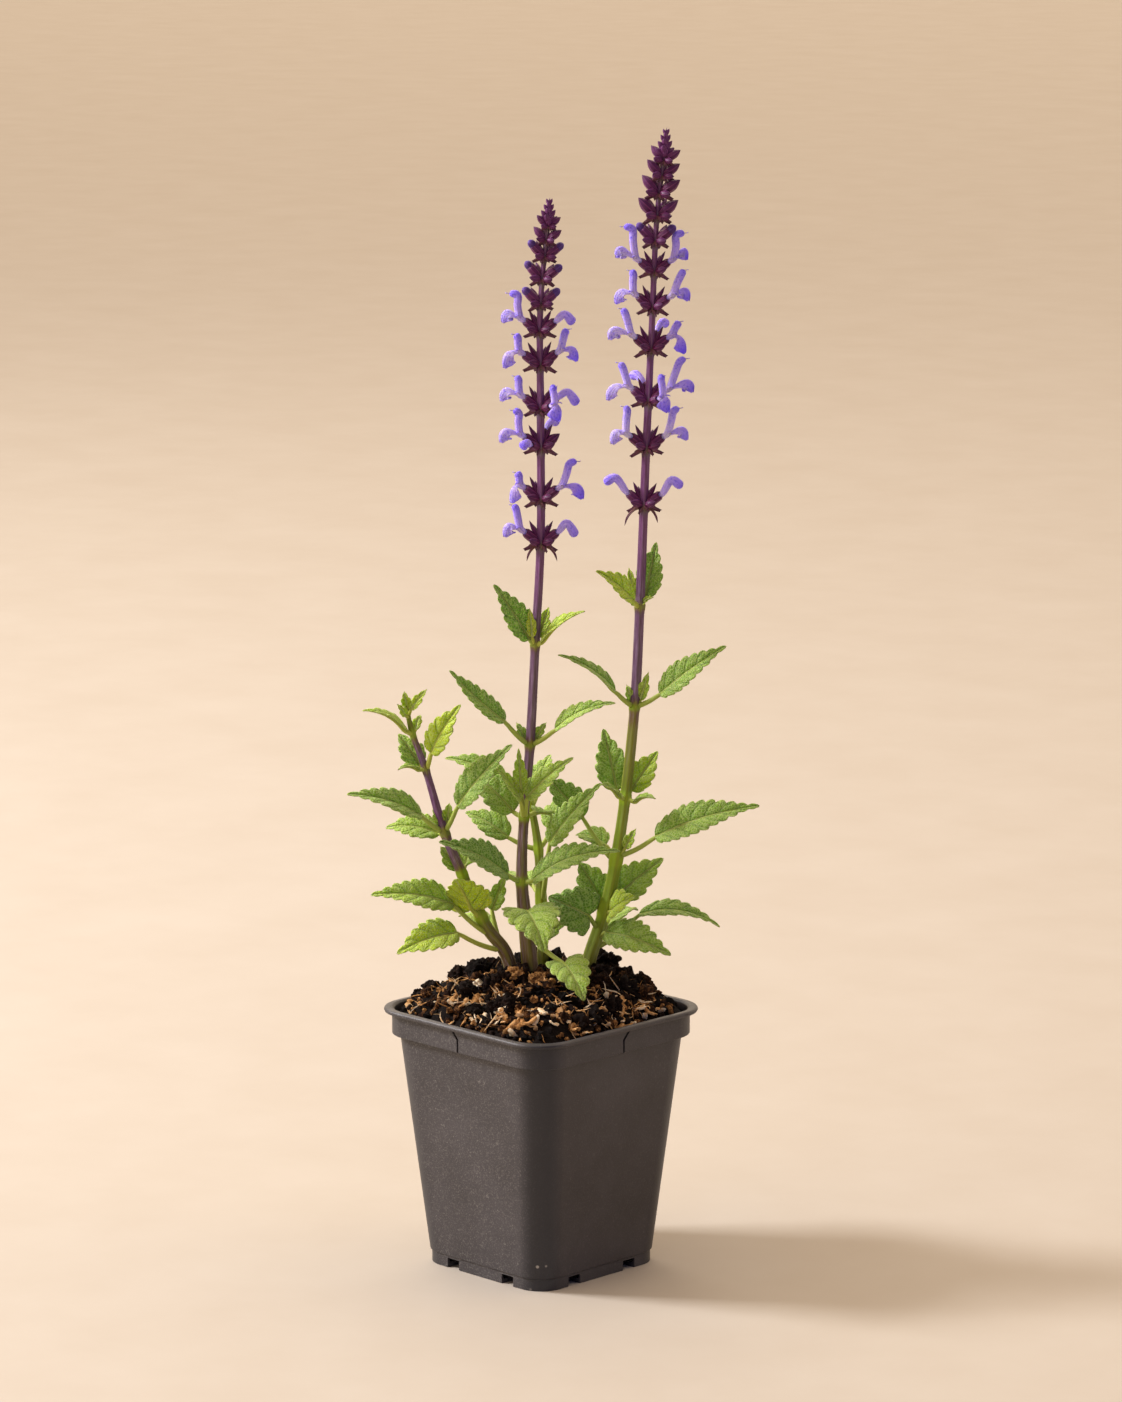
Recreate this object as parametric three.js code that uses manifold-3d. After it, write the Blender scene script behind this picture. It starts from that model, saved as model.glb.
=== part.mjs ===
// Perennial salvia in a square nursery pot, as a three.js scene graph.
// Millimetres, +Z up. The origin is the centre of the pot's underside, and the pot's sides lie along X and Y.
// The plant is laid out in axes of its own, turned by 45 degrees: x runs from corner to corner of the pot,
// y runs back to the corner behind.

import * as THREE from 'three';
import { mergeVertices } from 'three/addons/utils/BufferGeometryUtils.js';
import Module from 'manifold-3d';

const wasm = await Module();
wasm.setup();

// ---------------------------------------------------------------------------------------------------------
// Driving dimensions
// ---------------------------------------------------------------------------------------------------------

const POT_HEIGHT = 97;
const RIM_SIDE = 90; // outer side of the lip
const RIM_CORNER = 13; // corner radius of the lip
const LIP_HEIGHT = 2; // thickness of the rolled lip
const BAND_SIDE = 85.4; // stacking band under the lip
const BAND_FOOT = 87; // height at which the band ends
const SHOULDER_SIDE = 80.7; // wall just under the band
const BASE_SIDE = 64;
const BASE_CORNER = 10;
const FOOT_HEIGHT = 4.5; // ledge above the base
const FOOT_INSET = 0.5;
const WALL = 1.0;
const FLOOR = 1.6;

const NOTCH_OFFSET = 14.2; // from the middle of a side to the middle of a drain notch
const NOTCH_WIDTH = 6;
const NOTCH_HEIGHT = 3.7;
const NOTCH_DEPTH = 5.5; // inwards from the base's side
const SLIT_WIDTH = 0.9;
const SLIT_DEPTH = 0.8;

const CLEARANCE = 0.3; // between pieces that touch
const SLIVER = 0.02; // edges shorter than this are merged
const SOIL_EDGE_DROP = 2.6; // soil below the rim along the wall
const SOIL_CROWN = 16; // rise of the soil from the wall to the middle
const SOIL_RELIEF = 1.6; // height of the crumbs
const SOIL_POINTS = 28; // round each ring of the soil

const PLANT_TURN = 45; // degrees about Z
const HOLE_FLOOR = 99; // height at which the stems' holes end
const HOLE_TOP = 120; // the holes' cutters end above the soil
const STEM_SQUARE = 1.36; // from a stem's radius to its corners

const BLADE = 0.7; // thickness of a leaf and of a lip
const FOLD = 16; // degrees that each half of a leaf rises from its midrib
const TOOTH_PITCH = 6.6; // length of leaf margin per tooth
const SMALL_LEAF = 8.5; // shorter leaves have no teeth
const TOOTH_SHARE = 1.06; // half-width at a tooth and between two teeth, as shares of the outline's
const NOTCH_SHARE = 0.86;
const LEAF_WAVE = 0.35; // rise and fall of the margin
const PETIOLE = 0.8; // half-width of a leaf stalk

const CALYX_LENGTH = 7.4;
const CALYX_RADIUS = 1.8;
const CALYX_HOLLOW = 0.5; // share of its length at which the hollow ends
const HOOD_BOW = 0.033; // how far a hood bows inwards, as a share of its length for each mm that it hooks
const HOOD_END = 1.8; // the last stretch of a hood that doesn't hook
const LIP_OFFSET = 0.2; // of a lower lip's crease, to keep it off the corner of the tube
const CALYX_SINK = 0.45; // share of the stem's radius at which a calyx starts
const BRACT_LENGTH = 5.5;
const BRACT_RADIUS = 0.8;

const COLOURS = {
  pot: '#454145', soil: '#33241a', stem: '#4c7a38', corolla: '#6a5ae0',
};

// ---------------------------------------------------------------------------------------------------------
// Small helpers
// ---------------------------------------------------------------------------------------------------------

const rad = THREE.MathUtils.degToRad;
const vec = (x, y, z) => new THREE.Vector3(x, y, z);
const UP = vec(0, 0, 1);

/** A repeatable stream of numbers from 0 to 1. */
function seededRandom(seed) {
  let state = seed;
  return () => {
    state = (state * 1664525 + 1013904223) % 4294967296;
    return state / 4294967296;
  };
}

/** Turns points and triangles into a solid. */
function solidFrom(points, triangles) {
  const vertProperties = new Float32Array(points.flatMap((p) => [p.x, p.y, p.z]));
  const triVerts = new Uint32Array(triangles.flat());
  return new wasm.Manifold(new wasm.Mesh({ numProp: 3, vertProperties, triVerts }));
}

/** Turns a closed three.js geometry into a solid. */
function solidFromGeometry(geometry) {
  const bare = geometry.clone();
  bare.deleteAttribute('normal');
  bare.deleteAttribute('uv');
  const merged = mergeVertices(bare, 1e-4);
  const vertProperties = new Float32Array(merged.attributes.position.array);
  const triVerts = new Uint32Array(merged.index.array);
  return new wasm.Manifold(new wasm.Mesh({ numProp: 3, vertProperties, triVerts }));
}

/** One solid of several, without the slivers that are left where their skins cross. */
const joined = (solids) => wasm.Manifold.union(solids).asOriginal().simplify(SLIVER);

/** Wraps a solid in a named mesh. */
function meshFrom(solid, name, colour, roughness) {
  const { vertProperties, triVerts } = solid.getMesh();
  const geometry = new THREE.BufferGeometry();
  geometry.setAttribute('position', new THREE.BufferAttribute(Float32Array.from(vertProperties), 3));
  geometry.setIndex(new THREE.BufferAttribute(Uint32Array.from(triVerts), 1));
  geometry.computeVertexNormals();
  const material = new THREE.MeshStandardMaterial({ color: colour, roughness, metalness: 0 });
  const mesh = new THREE.Mesh(geometry, material);
  mesh.name = name;
  return mesh;
}

/** Triangles that join equal rings into a skin; each ring runs anticlockwise about the way along. */
function skin(ringCount, size) {
  const triangles = [];
  for (let r = 0; r < ringCount - 1; r += 1) {
    for (let i = 0; i < size; i += 1) {
      const j = (i + 1) % size;
      const a = r * size;
      const b = a + size;
      triangles.push([a + i, a + j, b + j], [a + i, b + j, b + i]);
    }
  }
  return triangles;
}

/** A fan that closes a ring; `forward` when it faces along the way of the rings. */
function fan(start, size, forward) {
  const triangles = [];
  for (let i = 1; i < size - 1; i += 1) {
    triangles.push(forward ? [start, start + i, start + i + 1] : [start, start + i + 1, start + i]);
  }
  return triangles;
}

/** A closed skin through equal rings of points. */
function loft(rings) {
  const size = rings[0].length;
  const last = (rings.length - 1) * size;
  const caps = [...fan(0, size, false), ...fan(last, size, true)];
  return solidFrom(rings.flat(), [...caps, ...skin(rings.length, size)]);
}

/**
 * A closed tube along a curve.
 * `radiusAt(t)` gives its radius, `flatness` squeezes it sideways, `turn` sets its corners, in degrees.
 */
function tube(curve, radiusAt, sides, steps, flatness = 1, turn = 45) {
  const first = curve.getTangentAt(0);
  const hint = Math.abs(first.z) > 0.8 ? vec(0, -1, 0) : UP;
  let side = hint.clone().cross(first).normalize();
  const rings = [];
  for (let s = 0; s <= steps; s += 1) {
    const t = s / steps;
    const tangent = curve.getTangentAt(t);
    side = side.sub(tangent.clone().multiplyScalar(side.dot(tangent))).normalize();
    const lift = tangent.clone().cross(side);
    const ring = [];
    for (let i = 0; i < sides; i += 1) {
      const angle = rad(turn) + (2 * Math.PI * i) / sides;
      const across = side.clone().multiplyScalar(Math.cos(angle) * radiusAt(t) * flatness);
      ring.push(curve.getPointAt(t).add(across).addScaledVector(lift, Math.sin(angle) * radiusAt(t)));
    }
    rings.push(ring);
  }
  return loft(rings);
}

/** A spindle from one tip to another, through rings given as [share of the length, radius]. */
function spindle(from, to, profile, sides) {
  const along = to.clone().sub(from).normalize();
  const side = along.clone().cross(Math.abs(along.z) > 0.9 ? vec(0, 1, 0) : UP).normalize();
  const lift = along.clone().cross(side);
  const points = [from];
  profile.forEach(([share, radius]) => {
    for (let i = 0; i < sides; i += 1) {
      const angle = (2 * Math.PI * i) / sides;
      const point = from.clone().lerp(to, share);
      point.addScaledVector(side, Math.cos(angle) * radius).addScaledVector(lift, Math.sin(angle) * radius);
      points.push(point);
    }
  });
  points.push(to);
  const end = points.length - 1;
  const lastRing = end - sides;
  const triangles = skin(profile.length, sides).map((triangle) => triangle.map((index) => index + 1));
  for (let i = 0; i < sides; i += 1) {
    const j = (i + 1) % sides;
    triangles.push([0, 1 + j, 1 + i], [lastRing + i, lastRing + j, end]);
  }
  return solidFrom(points, triangles);
}

/**
 * A thin blade from one point to another through stations. Each has a left, middle and right point of its
 * upper face, the way that face looks and the thickness there. Both faces are split into triangles alike.
 */
function blade(start, stations, end) {
  const points = [start];
  stations.forEach(({ left, middle, right, up, thickness = BLADE }) => {
    const top = [left, middle, right];
    points.push(...top, ...top.map((p) => p.clone().addScaledVector(up, -thickness)));
  });
  points.push(end);

  const triangles = [];
  const quad = (a, b, c, d) => triangles.push([a, b, c], [a, c, d]);
  for (let s = 0; s < stations.length - 1; s += 1) {
    const a = 1 + s * 6;
    const b = a + 6;
    quad(a, b, b + 1, a + 1);
    quad(b + 1, b + 2, a + 2, a + 1);
    quad(a + 4, b + 4, b + 3, a + 3);
    quad(a + 4, a + 5, b + 5, b + 4);
    quad(a, a + 3, b + 3, b);
    quad(a + 2, b + 2, b + 5, a + 5);
  }
  const outline = [0, 1, 2, 5, 4, 3];
  const last = 1 + (stations.length - 1) * 6;
  outline.forEach((corner, i) => {
    const next = outline[(i + 1) % outline.length];
    triangles.push([0, 1 + corner, 1 + next], [points.length - 1, last + next, last + corner]);
  });
  return solidFrom(points, triangles);
}

// ---------------------------------------------------------------------------------------------------------
// Pot
// ---------------------------------------------------------------------------------------------------------

const CORNER_STEPS = 4;

/** Corner points of a square with round corners, at height z. */
function roundedSquare(side, corner, z) {
  const ring = [];
  for (let quarter = 0; quarter < 4; quarter += 1) {
    const centre = vec(side / 2 - corner, side / 2 - corner, 0).applyAxisAngle(UP, (quarter * Math.PI) / 2);
    for (let i = 0; i <= CORNER_STEPS; i += 1) {
      const angle = (Math.PI / 2) * (quarter + i / CORNER_STEPS);
      ring.push(vec(centre.x + corner * Math.cos(angle), centre.y + corner * Math.sin(angle), z));
    }
  }
  return ring;
}

const LIP_FOOT = POT_HEIGHT - LIP_HEIGHT;
const BAND_CORNER = RIM_CORNER - 0.7;
const SHOULDER_CORNER = RIM_CORNER - 1.5;

/** The wall's inside as [side, corner radius, height], from the lip down to the floor. */
const INSIDE = [
  [RIM_SIDE - 5, BAND_CORNER, POT_HEIGHT],
  [BAND_SIDE - 2 * WALL, BAND_CORNER - 1, LIP_FOOT - 0.8],
  [BAND_SIDE - 2 * WALL, BAND_CORNER - 1, BAND_FOOT + WALL],
  [SHOULDER_SIDE - 2 * WALL, SHOULDER_CORNER - WALL, BAND_FOOT - WALL],
  [BASE_SIDE - 2 * WALL, BASE_CORNER - WALL, FOOT_HEIGHT],
  [BASE_SIDE - 2 * FOOT_INSET - 2 * WALL, BASE_CORNER - WALL, FLOOR],
];

/** The wall's outside, from the base up to the lip. */
const OUTSIDE = [
  [BASE_SIDE - 2 * FOOT_INSET, BASE_CORNER, 0],
  [BASE_SIDE - 2 * FOOT_INSET, BASE_CORNER, FOOT_HEIGHT],
  [BASE_SIDE, BASE_CORNER, FOOT_HEIGHT + 0.3],
  [SHOULDER_SIDE, SHOULDER_CORNER, BAND_FOOT - 0.6],
  [BAND_SIDE, BAND_CORNER, BAND_FOOT],
  [BAND_SIDE, BAND_CORNER, LIP_FOOT],
  [RIM_SIDE - 0.6, RIM_CORNER, LIP_FOOT + 0.2],
  [RIM_SIDE, RIM_CORNER, LIP_FOOT + 1.1],
  [RIM_SIDE - 1.6, RIM_CORNER - 0.5, POT_HEIGHT],
];

/** A block centred on (x, y) and standing from z up. */
function block(width, depth, height, x, y, z) {
  return solidFromGeometry(new THREE.BoxGeometry(width, depth, height).translate(x, y, z + height / 2));
}

function buildPot() {
  const shell = loft([...OUTSIDE, ...INSIDE].map((section) => roundedSquare(...section)));
  const cutters = [];
  for (let quarter = 0; quarter < 4; quarter += 1) {
    const face = BASE_SIDE / 2 - NOTCH_DEPTH / 2;
    const notches = [-NOTCH_OFFSET, NOTCH_OFFSET].map(
      (offset) => block(NOTCH_WIDTH, NOTCH_DEPTH + 1, NOTCH_HEIGHT + 1, offset, face + 0.5, -1),
    );
    const slit = block(SLIT_WIDTH, 2 * SLIT_DEPTH, LIP_FOOT - BAND_FOOT, 0, BAND_SIDE / 2, BAND_FOOT - 0.4);
    cutters.push(...[...notches, slit].map((solid) => solid.rotate([0, 0, 90 * quarter])));
  }
  return meshFrom(shell.subtract(joined(cutters)), 'pot', COLOURS.pot, 0.55);
}

// ---------------------------------------------------------------------------------------------------------
// Stems: points [x, y, z] of the axis with the radius there
// ---------------------------------------------------------------------------------------------------------

const STEMS = {
  left: [
    [-9, 1, 101, 2.2], [-13, 0, 117, 2.1], [-20, -1, 127, 1.9], [-28, -1, 145, 1.6], [-35, -1, 162, 1.4],
    [-42, -1, 186, 1.1], [-47, 0, 200, 0.9], [-49, 0, 210, 0.6],
  ],
  middle: [
    [-3, 0, 101, 2.7], [-5, 0, 122, 2.5], [-7, 0, 145, 1.8], [-6, 0, 170, 1.5], [-4, 0, 194, 1.5],
    [-2, 0, 232, 1.4], [0, 0, 270, 1.3], [0, 0, 318, 1.2], [0, 0, 356, 0.9], [3, 0, 388, 0.6],
  ],
  right: [
    [15, 7, 101, 2.5], [18, 6, 114, 2.3], [24, 6, 133, 2.1], [29, 6, 160, 1.8], [34, 6, 205, 1.6],
    [36, 6, 245, 1.5], [38, 6, 299, 1.3], [40, 6, 346, 1.0], [42, 6, 390, 0.8], [45, 6, 413, 0.6],
  ],
  back: [[1, 12, 101, 1.9], [0, 12, 134, 1.6], [-1, 13, 153, 1.4], [-4, 14, 172, 1.0]],
};

/** A stem's axis with lookups by height. */
class Stem {
  constructor(rows) {
    this.rows = rows;
    this.curve = new THREE.CatmullRomCurve3(rows.map(([x, y, z]) => vec(x, y, z)), false, 'centripetal');
  }

  /** The share of the length at which the axis passes height z. */
  shareAt(z) {
    let low = 0;
    let high = 1;
    for (let i = 0; i < 24; i += 1) {
      const middle = (low + high) / 2;
      if (this.curve.getPointAt(middle).z < z) {
        low = middle;
      } else {
        high = middle;
      }
    }
    return low;
  }

  pointAt(z) {
    return this.curve.getPointAt(this.shareAt(z));
  }

  /** The turn from upright to the stem's lean at height z. */
  leanAt(z) {
    return new THREE.Quaternion().setFromUnitVectors(UP, this.curve.getTangentAt(this.shareAt(z)));
  }

  radiusAt(z) {
    const above = this.rows.findIndex((row) => row[2] > z);
    if (above < 1) {
      return above === 0 ? this.rows[0][3] : this.rows.at(-1)[3];
    }
    const [low, high] = [this.rows[above - 1], this.rows[above]];
    return THREE.MathUtils.mapLinear(z, low[2], high[2], low[3], high[3]);
  }

  /** The stem itself, square as in all mints. */
  solid() {
    const radius = (t) => this.radiusAt(this.curve.getPointAt(t).z) * STEM_SQUARE;
    return tube(this.curve, radius, 4, this.rows.length + 4);
  }

  /** The plain hole in which it stands in the soil. */
  hole() {
    const foot = vec(...this.rows[0].slice(0, 3));
    const lean = this.curve.getTangentAt(0);
    const bottom = foot.clone().addScaledVector(lean, (HOLE_FLOOR - foot.z) / lean.z);
    const neck = this.pointAt(HOLE_TOP);
    const path = new THREE.CatmullRomCurve3([bottom, foot, this.pointAt((foot.z + HOLE_TOP) / 2), neck]);
    return tube(path, () => this.rows[0][3] * STEM_SQUARE + 2 * CLEARANCE, 8, 3);
  }
}

// ---------------------------------------------------------------------------------------------------------
// Leaves
// ---------------------------------------------------------------------------------------------------------

/** Half-width of a blade at share t of its length, as a share of its half-width. */
function leafOutline(t, heart) {
  const ovate = Math.sin(Math.PI * (0.05 + 0.95 * t) ** 0.66);
  return ovate + (heart ? 0.5 * (1 - t) ** 6 : 0);
}

/** Stations of a leaf's stalk, between the stem and the blade's base. */
function stalkStations(from, base, across, width) {
  const bow = from.clone().lerp(base, 0.5).addScaledVector(UP, -0.12 * from.distanceTo(base));
  const path = new THREE.QuadraticBezierCurve3(from, bow, base);
  const half = Math.min(PETIOLE, 0.14 * width);
  const shares = from.distanceTo(base) > 6 ? [0.25, 0.65] : [0.55];
  return shares.map((share) => {
    const middle = path.getPoint(share);
    const up = path.getTangent(share).cross(across).normalize();
    const reach = half * (1.3 - 0.3 * share);
    const edge = (sign) => middle.clone().addScaledVector(across, sign * reach);
    return { left: edge(-1), middle, right: edge(1), up, thickness: 1.8 * half };
  });
}

/**
 * A toothed leaf: its stalk and its blade as one strip, folded up from the midrib.
 * @param {Stem} stem that carries it
 * @param {object} leaf stalk and blade vectors, width, arch of the blade and lean of its upper face to the
 *   front, in degrees; `heart` gives it a lobed base
 */
function leafSolid(stem, leaf) {
  const { stalk, width, arch = 1, lean = 40, heart = false } = leaf;
  const axis = stem.pointAt(leaf.at);
  const base = axis.clone().add(vec(...stalk));
  const side = vec(stalk[0] + 0.1 * leaf.blade[0], stalk[1] + 0.1 * leaf.blade[1], 0).normalize();
  const from = axis.addScaledVector(side, 0.4 * stem.radiusAt(leaf.at));
  const tip = base.clone().add(vec(...leaf.blade));
  const length = base.distanceTo(tip);
  const along = tip.clone().sub(base).normalize();
  const facing = vec(0, -Math.sin(rad(lean)), Math.cos(rad(lean)));
  const up = facing.sub(along.clone().multiplyScalar(facing.dot(along))).normalize();
  const across = up.clone().cross(along);
  const crest = base.clone().lerp(tip, 0.5).addScaledVector(up, 2 * arch);
  const rib = new THREE.QuadraticBezierCurve3(base, crest, tip);
  const lobes = heart ? Math.min(0.2 * length, 0.3 * from.distanceTo(base)) : 0; // reach behind the base

  const teeth = THREE.MathUtils.clamp(Math.round(length / TOOTH_PITCH), 2, 5);
  const steps = length < SMALL_LEAF ? 3 : teeth * 2;
  const stations = stalkStations(from, base, across, width);
  for (let i = 0; i < steps; i += 1) {
    const t = i / steps;
    const tangent = rib.getTangent(t);
    const normal = tangent.clone().cross(across).normalize();
    const tooth = i % 2 === 0 ? NOTCH_SHARE : TOOTH_SHARE;
    const half = Math.max((width / 2) * leafOutline(t, heart) * tooth, PETIOLE / 2);
    const wave = half > 2 ? LEAF_WAVE * Math.sin(i * 1.9) : 0;
    const shift = (i % 2 === 0 ? 0 : 0.025 * length) - lobes * (1 - t) ** 5;
    const edge = (sign) => rib.getPoint(t)
      .addScaledVector(across, sign * Math.cos(rad(FOLD)) * half)
      .addScaledVector(normal, Math.sin(rad(FOLD)) * half + wave)
      .addScaledVector(tangent, shift);
    stations.push({ left: edge(-1), middle: rib.getPoint(t), right: edge(1), up: normal });
  }
  return blade(from, stations, tip);
}

// Each leaf: height of its node on the stem, vector from the stem's axis to the blade's base, vector from
// there to its tip, and the blade's width.

const LEAVES = {
  left: [
    { at: 208, stalk: [0, 0, 1], blade: [-1, -1, 6], width: 4, lean: 80 },
    { at: 206, stalk: [1, -1, 2], blade: [6, -1, 8], width: 4, lean: 60 },
    { at: 205, stalk: [-1, -2, 1], blade: [-3, -3, 5], width: 3.5, lean: 60 },
    { at: 205, stalk: [0, 2, 1], blade: [3, 2, 6], width: 3.5, lean: -30 },
    { at: 199, stalk: [-2, -1, 1], blade: [-16, -6, 9], width: 9, arch: 2.5, lean: 8 },
    { at: 199, stalk: [1, 1, 1], blade: [2, 4, 5], width: 4, lean: 20 },
    { at: 186, stalk: [2, -1, 6], blade: [11, -4, 19], width: 11, arch: 2, lean: 45 },
    { at: 186, stalk: [-2, 2, 1], blade: [-8, 4, 11], width: 10, lean: 55 },
    { at: 186, stalk: [-2, -1, 0], blade: [-8, -5, 1], width: 5, arch: 1.5, lean: 0 },
    { at: 163, stalk: [-8, -3, 6], blade: [-27, -8, 10], width: 12.5, arch: 3, lean: 32 },
    { at: 163, stalk: [5, -4, 10], blade: [20, -5, 24], width: 12.5, arch: 2, lean: 42 },
    { at: 162, stalk: [-2, 4, -1], blade: [-20, 5, 1], width: 12, arch: 3, lean: 40 },
    { at: 163, stalk: [-1, 0, 2], blade: [-3, 1, 7], width: 4.5, lean: 60 },
    { at: 163, stalk: [1, 1, 3], blade: [1, 1, 7], width: 5, lean: 70 },
    { at: 147, stalk: [-1, 2, 1], blade: [-7, 3, 8], width: 8, lean: 55 },
    { at: 147, stalk: [1, 4, 2], blade: [4, 16, 6], width: 11, lean: 0 },
    { at: 131, stalk: [-3, -3, 3], blade: [-6, -10, 14], width: 16, lean: -50, heart: true },
    { at: 124, stalk: [-14, -3, 12], blade: [-30, -6, 5], width: 14, arch: 3.5, lean: 40 },
    { at: 118, stalk: [-17, -6, 8], blade: [-22, -8, -6], width: 14.5, arch: 3, lean: 44 },
    { at: 119, stalk: [-4, 4, 13], blade: [5, 1, 13], width: 7, lean: 60 },
    { at: 118, stalk: [-5, 5, 5], blade: [-12, 15, 3], width: 12, arch: 3, lean: 5 },
  ],
  middle: [
    { at: 144, stalk: [-5, -4, 3], blade: [-25, -11, 15], width: 14.5, arch: 3, lean: 38 },
    { at: 144, stalk: [4, -4, 1], blade: [32, -4, 12], width: 13.5, arch: 5, lean: 32 },
    { at: 168, stalk: [-4, 4, 1], blade: [-15, 6, 14], width: 14, arch: 2, lean: 50 },
    { at: 168, stalk: [4, 4, 1], blade: [7, 9, -4], width: 10, arch: 1, lean: 10 },
    { at: 169, stalk: [-1, -4, 8], blade: [-1, -3, 18], width: 6, arch: 1, lean: 75 },
    { at: 168, stalk: [-1, -5, 7], blade: [-9, -4, 13], width: 7, lean: 30 },
    { at: 168, stalk: [1, -5, 8], blade: [17, -4, 16], width: 9.5, arch: 2, lean: 45 },
    { at: 195, stalk: [-9, -3, 9], blade: [-20, -5, 20], width: 10, arch: -1, lean: 36 },
    { at: 195, stalk: [9, -3, 6], blade: [22, -5, 11], width: 9.5, arch: 3, lean: 28 },
    { at: 195, stalk: [-2, 1, 2], blade: [-3, 0, 6], width: 4, lean: 60 },
    { at: 195, stalk: [2, 1, 2], blade: [4, 0, 6], width: 4, lean: 60 },
    { at: 232, stalk: [-2, -1, 2], blade: [-13, -4, 21], width: 11, lean: 48 },
    { at: 232, stalk: [2, -2, 1], blade: [16, -7, 13], width: 9, arch: 2, lean: 20 },
    { at: 232, stalk: [-1, -2, 3], blade: [-1, -1, 11], width: 4, lean: 70 },
    { at: 232, stalk: [1, 2, 2], blade: [4, 3, 11], width: 6, lean: 60 },
    { at: 131, stalk: [1, -5, 3], blade: [6, -19, -11], width: 20, arch: 3, lean: 20, heart: true },
    { at: 125, stalk: [14, -15, -8.5], blade: [7, -14, -10.5], width: 14, arch: 2.5, lean: 32, heart: true },
    { at: 125, stalk: [5, 3, -4], blade: [10, 1, 7], width: 6, lean: 50 },
  ],
  right: [
    { at: 245, stalk: [-2, -3, 2], blade: [-14, -8, 13], width: 11, arch: 1.5, lean: 38 },
    { at: 245, stalk: [2, 2, 3], blade: [4, 2, 20], width: 10.5, lean: 60 },
    { at: 245, stalk: [-2, 1, 3], blade: [-2, 1, 11], width: 4.5, lean: 60 },
    { at: 245, stalk: [1, -1, 1], blade: [4, -2, 3], width: 3, lean: 40 },
    { at: 208, stalk: [-7, -3, 6], blade: [-21, -7, 15], width: 8.5, arch: 2.5, lean: 24 },
    { at: 208, stalk: [9, -3, 5], blade: [24, -6, 19], width: 12, arch: 1.5, lean: 42 },
    { at: 208, stalk: [2, 0, 2], blade: [3, -1, 11], width: 4.5, lean: 60 },
    { at: 208, stalk: [-1, 0, 2], blade: [-2, 0, 6], width: 4, lean: 60 },
    { at: 174, stalk: [-3, 3, 2], blade: [-5, 5, 22], width: 13, lean: 65 },
    { at: 174, stalk: [2, 2, 2], blade: [10, 4, 14], width: 11, lean: 58 },
    { at: 174, stalk: [-2, -4, 1], blade: [-7, -6, 6], width: 8, lean: 20 },
    { at: 174, stalk: [3, -3, -1], blade: [8, -4, 2], width: 6, arch: 1.5, lean: 10 },
    { at: 152, stalk: [14, -4, 8], blade: [38, -6, 13], width: 14.5, arch: 3.5, lean: 44 },
    { at: 152, stalk: [-4, 5, 3], blade: [-11, 8, 2], width: 12, arch: 2, lean: 20 },
    { at: 150, stalk: [-12, 6, 15], blade: [-14, 0, 16], width: 13, lean: 52 },
    { at: 152, stalk: [3, -1, 3], blade: [4, -2, 8], width: 4.5, lean: 60 },
    { at: 133, stalk: [3, 2, 3], blade: [18, 3, 14], width: 14.5, lean: 56 },
    { at: 131, stalk: [2, -4, 1], blade: [9, -6, 7], width: 13, lean: 38, heart: true },
    { at: 133, stalk: [-2, 3, 2], blade: [-8, 5, 13], width: 13, lean: 55 },
    { at: 125, stalk: [-4, -2, 5], blade: [-15, 0, 7], width: 17, arch: 1.5, lean: 66, heart: true },
    { at: 122, stalk: [3, -3, 2], blade: [24, -11, -6], width: 15, arch: 3, lean: 46 },
    { at: 117, stalk: [17, 4, 12], blade: [30, -3, -4], width: 10, arch: 5, lean: 24 },
    { at: 120, stalk: [4, 6, 4], blade: [12, 18, 2], width: 12, arch: 3, lean: 0 },
  ],
  back: [
    { at: 133, stalk: [3, -8, 24], blade: [19, -6, 24], width: 11.5, arch: 2, lean: 42 },
    { at: 153, stalk: [-11, 2, 4], blade: [-16, 7, 8], width: 12, arch: 2, lean: 40 },
    { at: 168, stalk: [-9, 2, 7], blade: [-23, 3, 11], width: 12, arch: 4, lean: 30 },
    { at: 153, stalk: [5, 6, 6], blade: [6, 17, 8], width: 12, arch: 2, lean: -10 },
    { at: 169, stalk: [2, 5, 3], blade: [5, 16, 12], width: 11, arch: 2, lean: -20 },
    { at: 170, stalk: [0, 1, 3], blade: [-2, 1, 9], width: 5, lean: 60 },
    { at: 136, stalk: [-3, 7, 2], blade: [-9, 18, -2], width: 13, arch: 3, lean: -10 },
  ],
};

// ---------------------------------------------------------------------------------------------------------
// Flower spikes
// ---------------------------------------------------------------------------------------------------------

/** Places round a whorl: bearing about the stem and rise of the calyx, in degrees, and the calyx's share. */
const SEATS = {
  right: [0, 36, 1], rightBack: [46, 60, 0.95], rightFront: [-42, 18, 0.85],
  left: [180, 36, 1], leftBack: [134, 60, 0.95], leftFront: [222, 18, 0.85],
};

/** An open corolla: reach and rise of its hood's and its lip's tips, and how far the hood hooks outwards. */
const open = (seat, hood, lip, hook = 1) => ({ seat, hood, lip, hook });
/** An unopened corolla: rise of its bend, reach and rise of its club end. */
const bent = (seat, crest, end) => ({ seat, crest, end });

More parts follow.
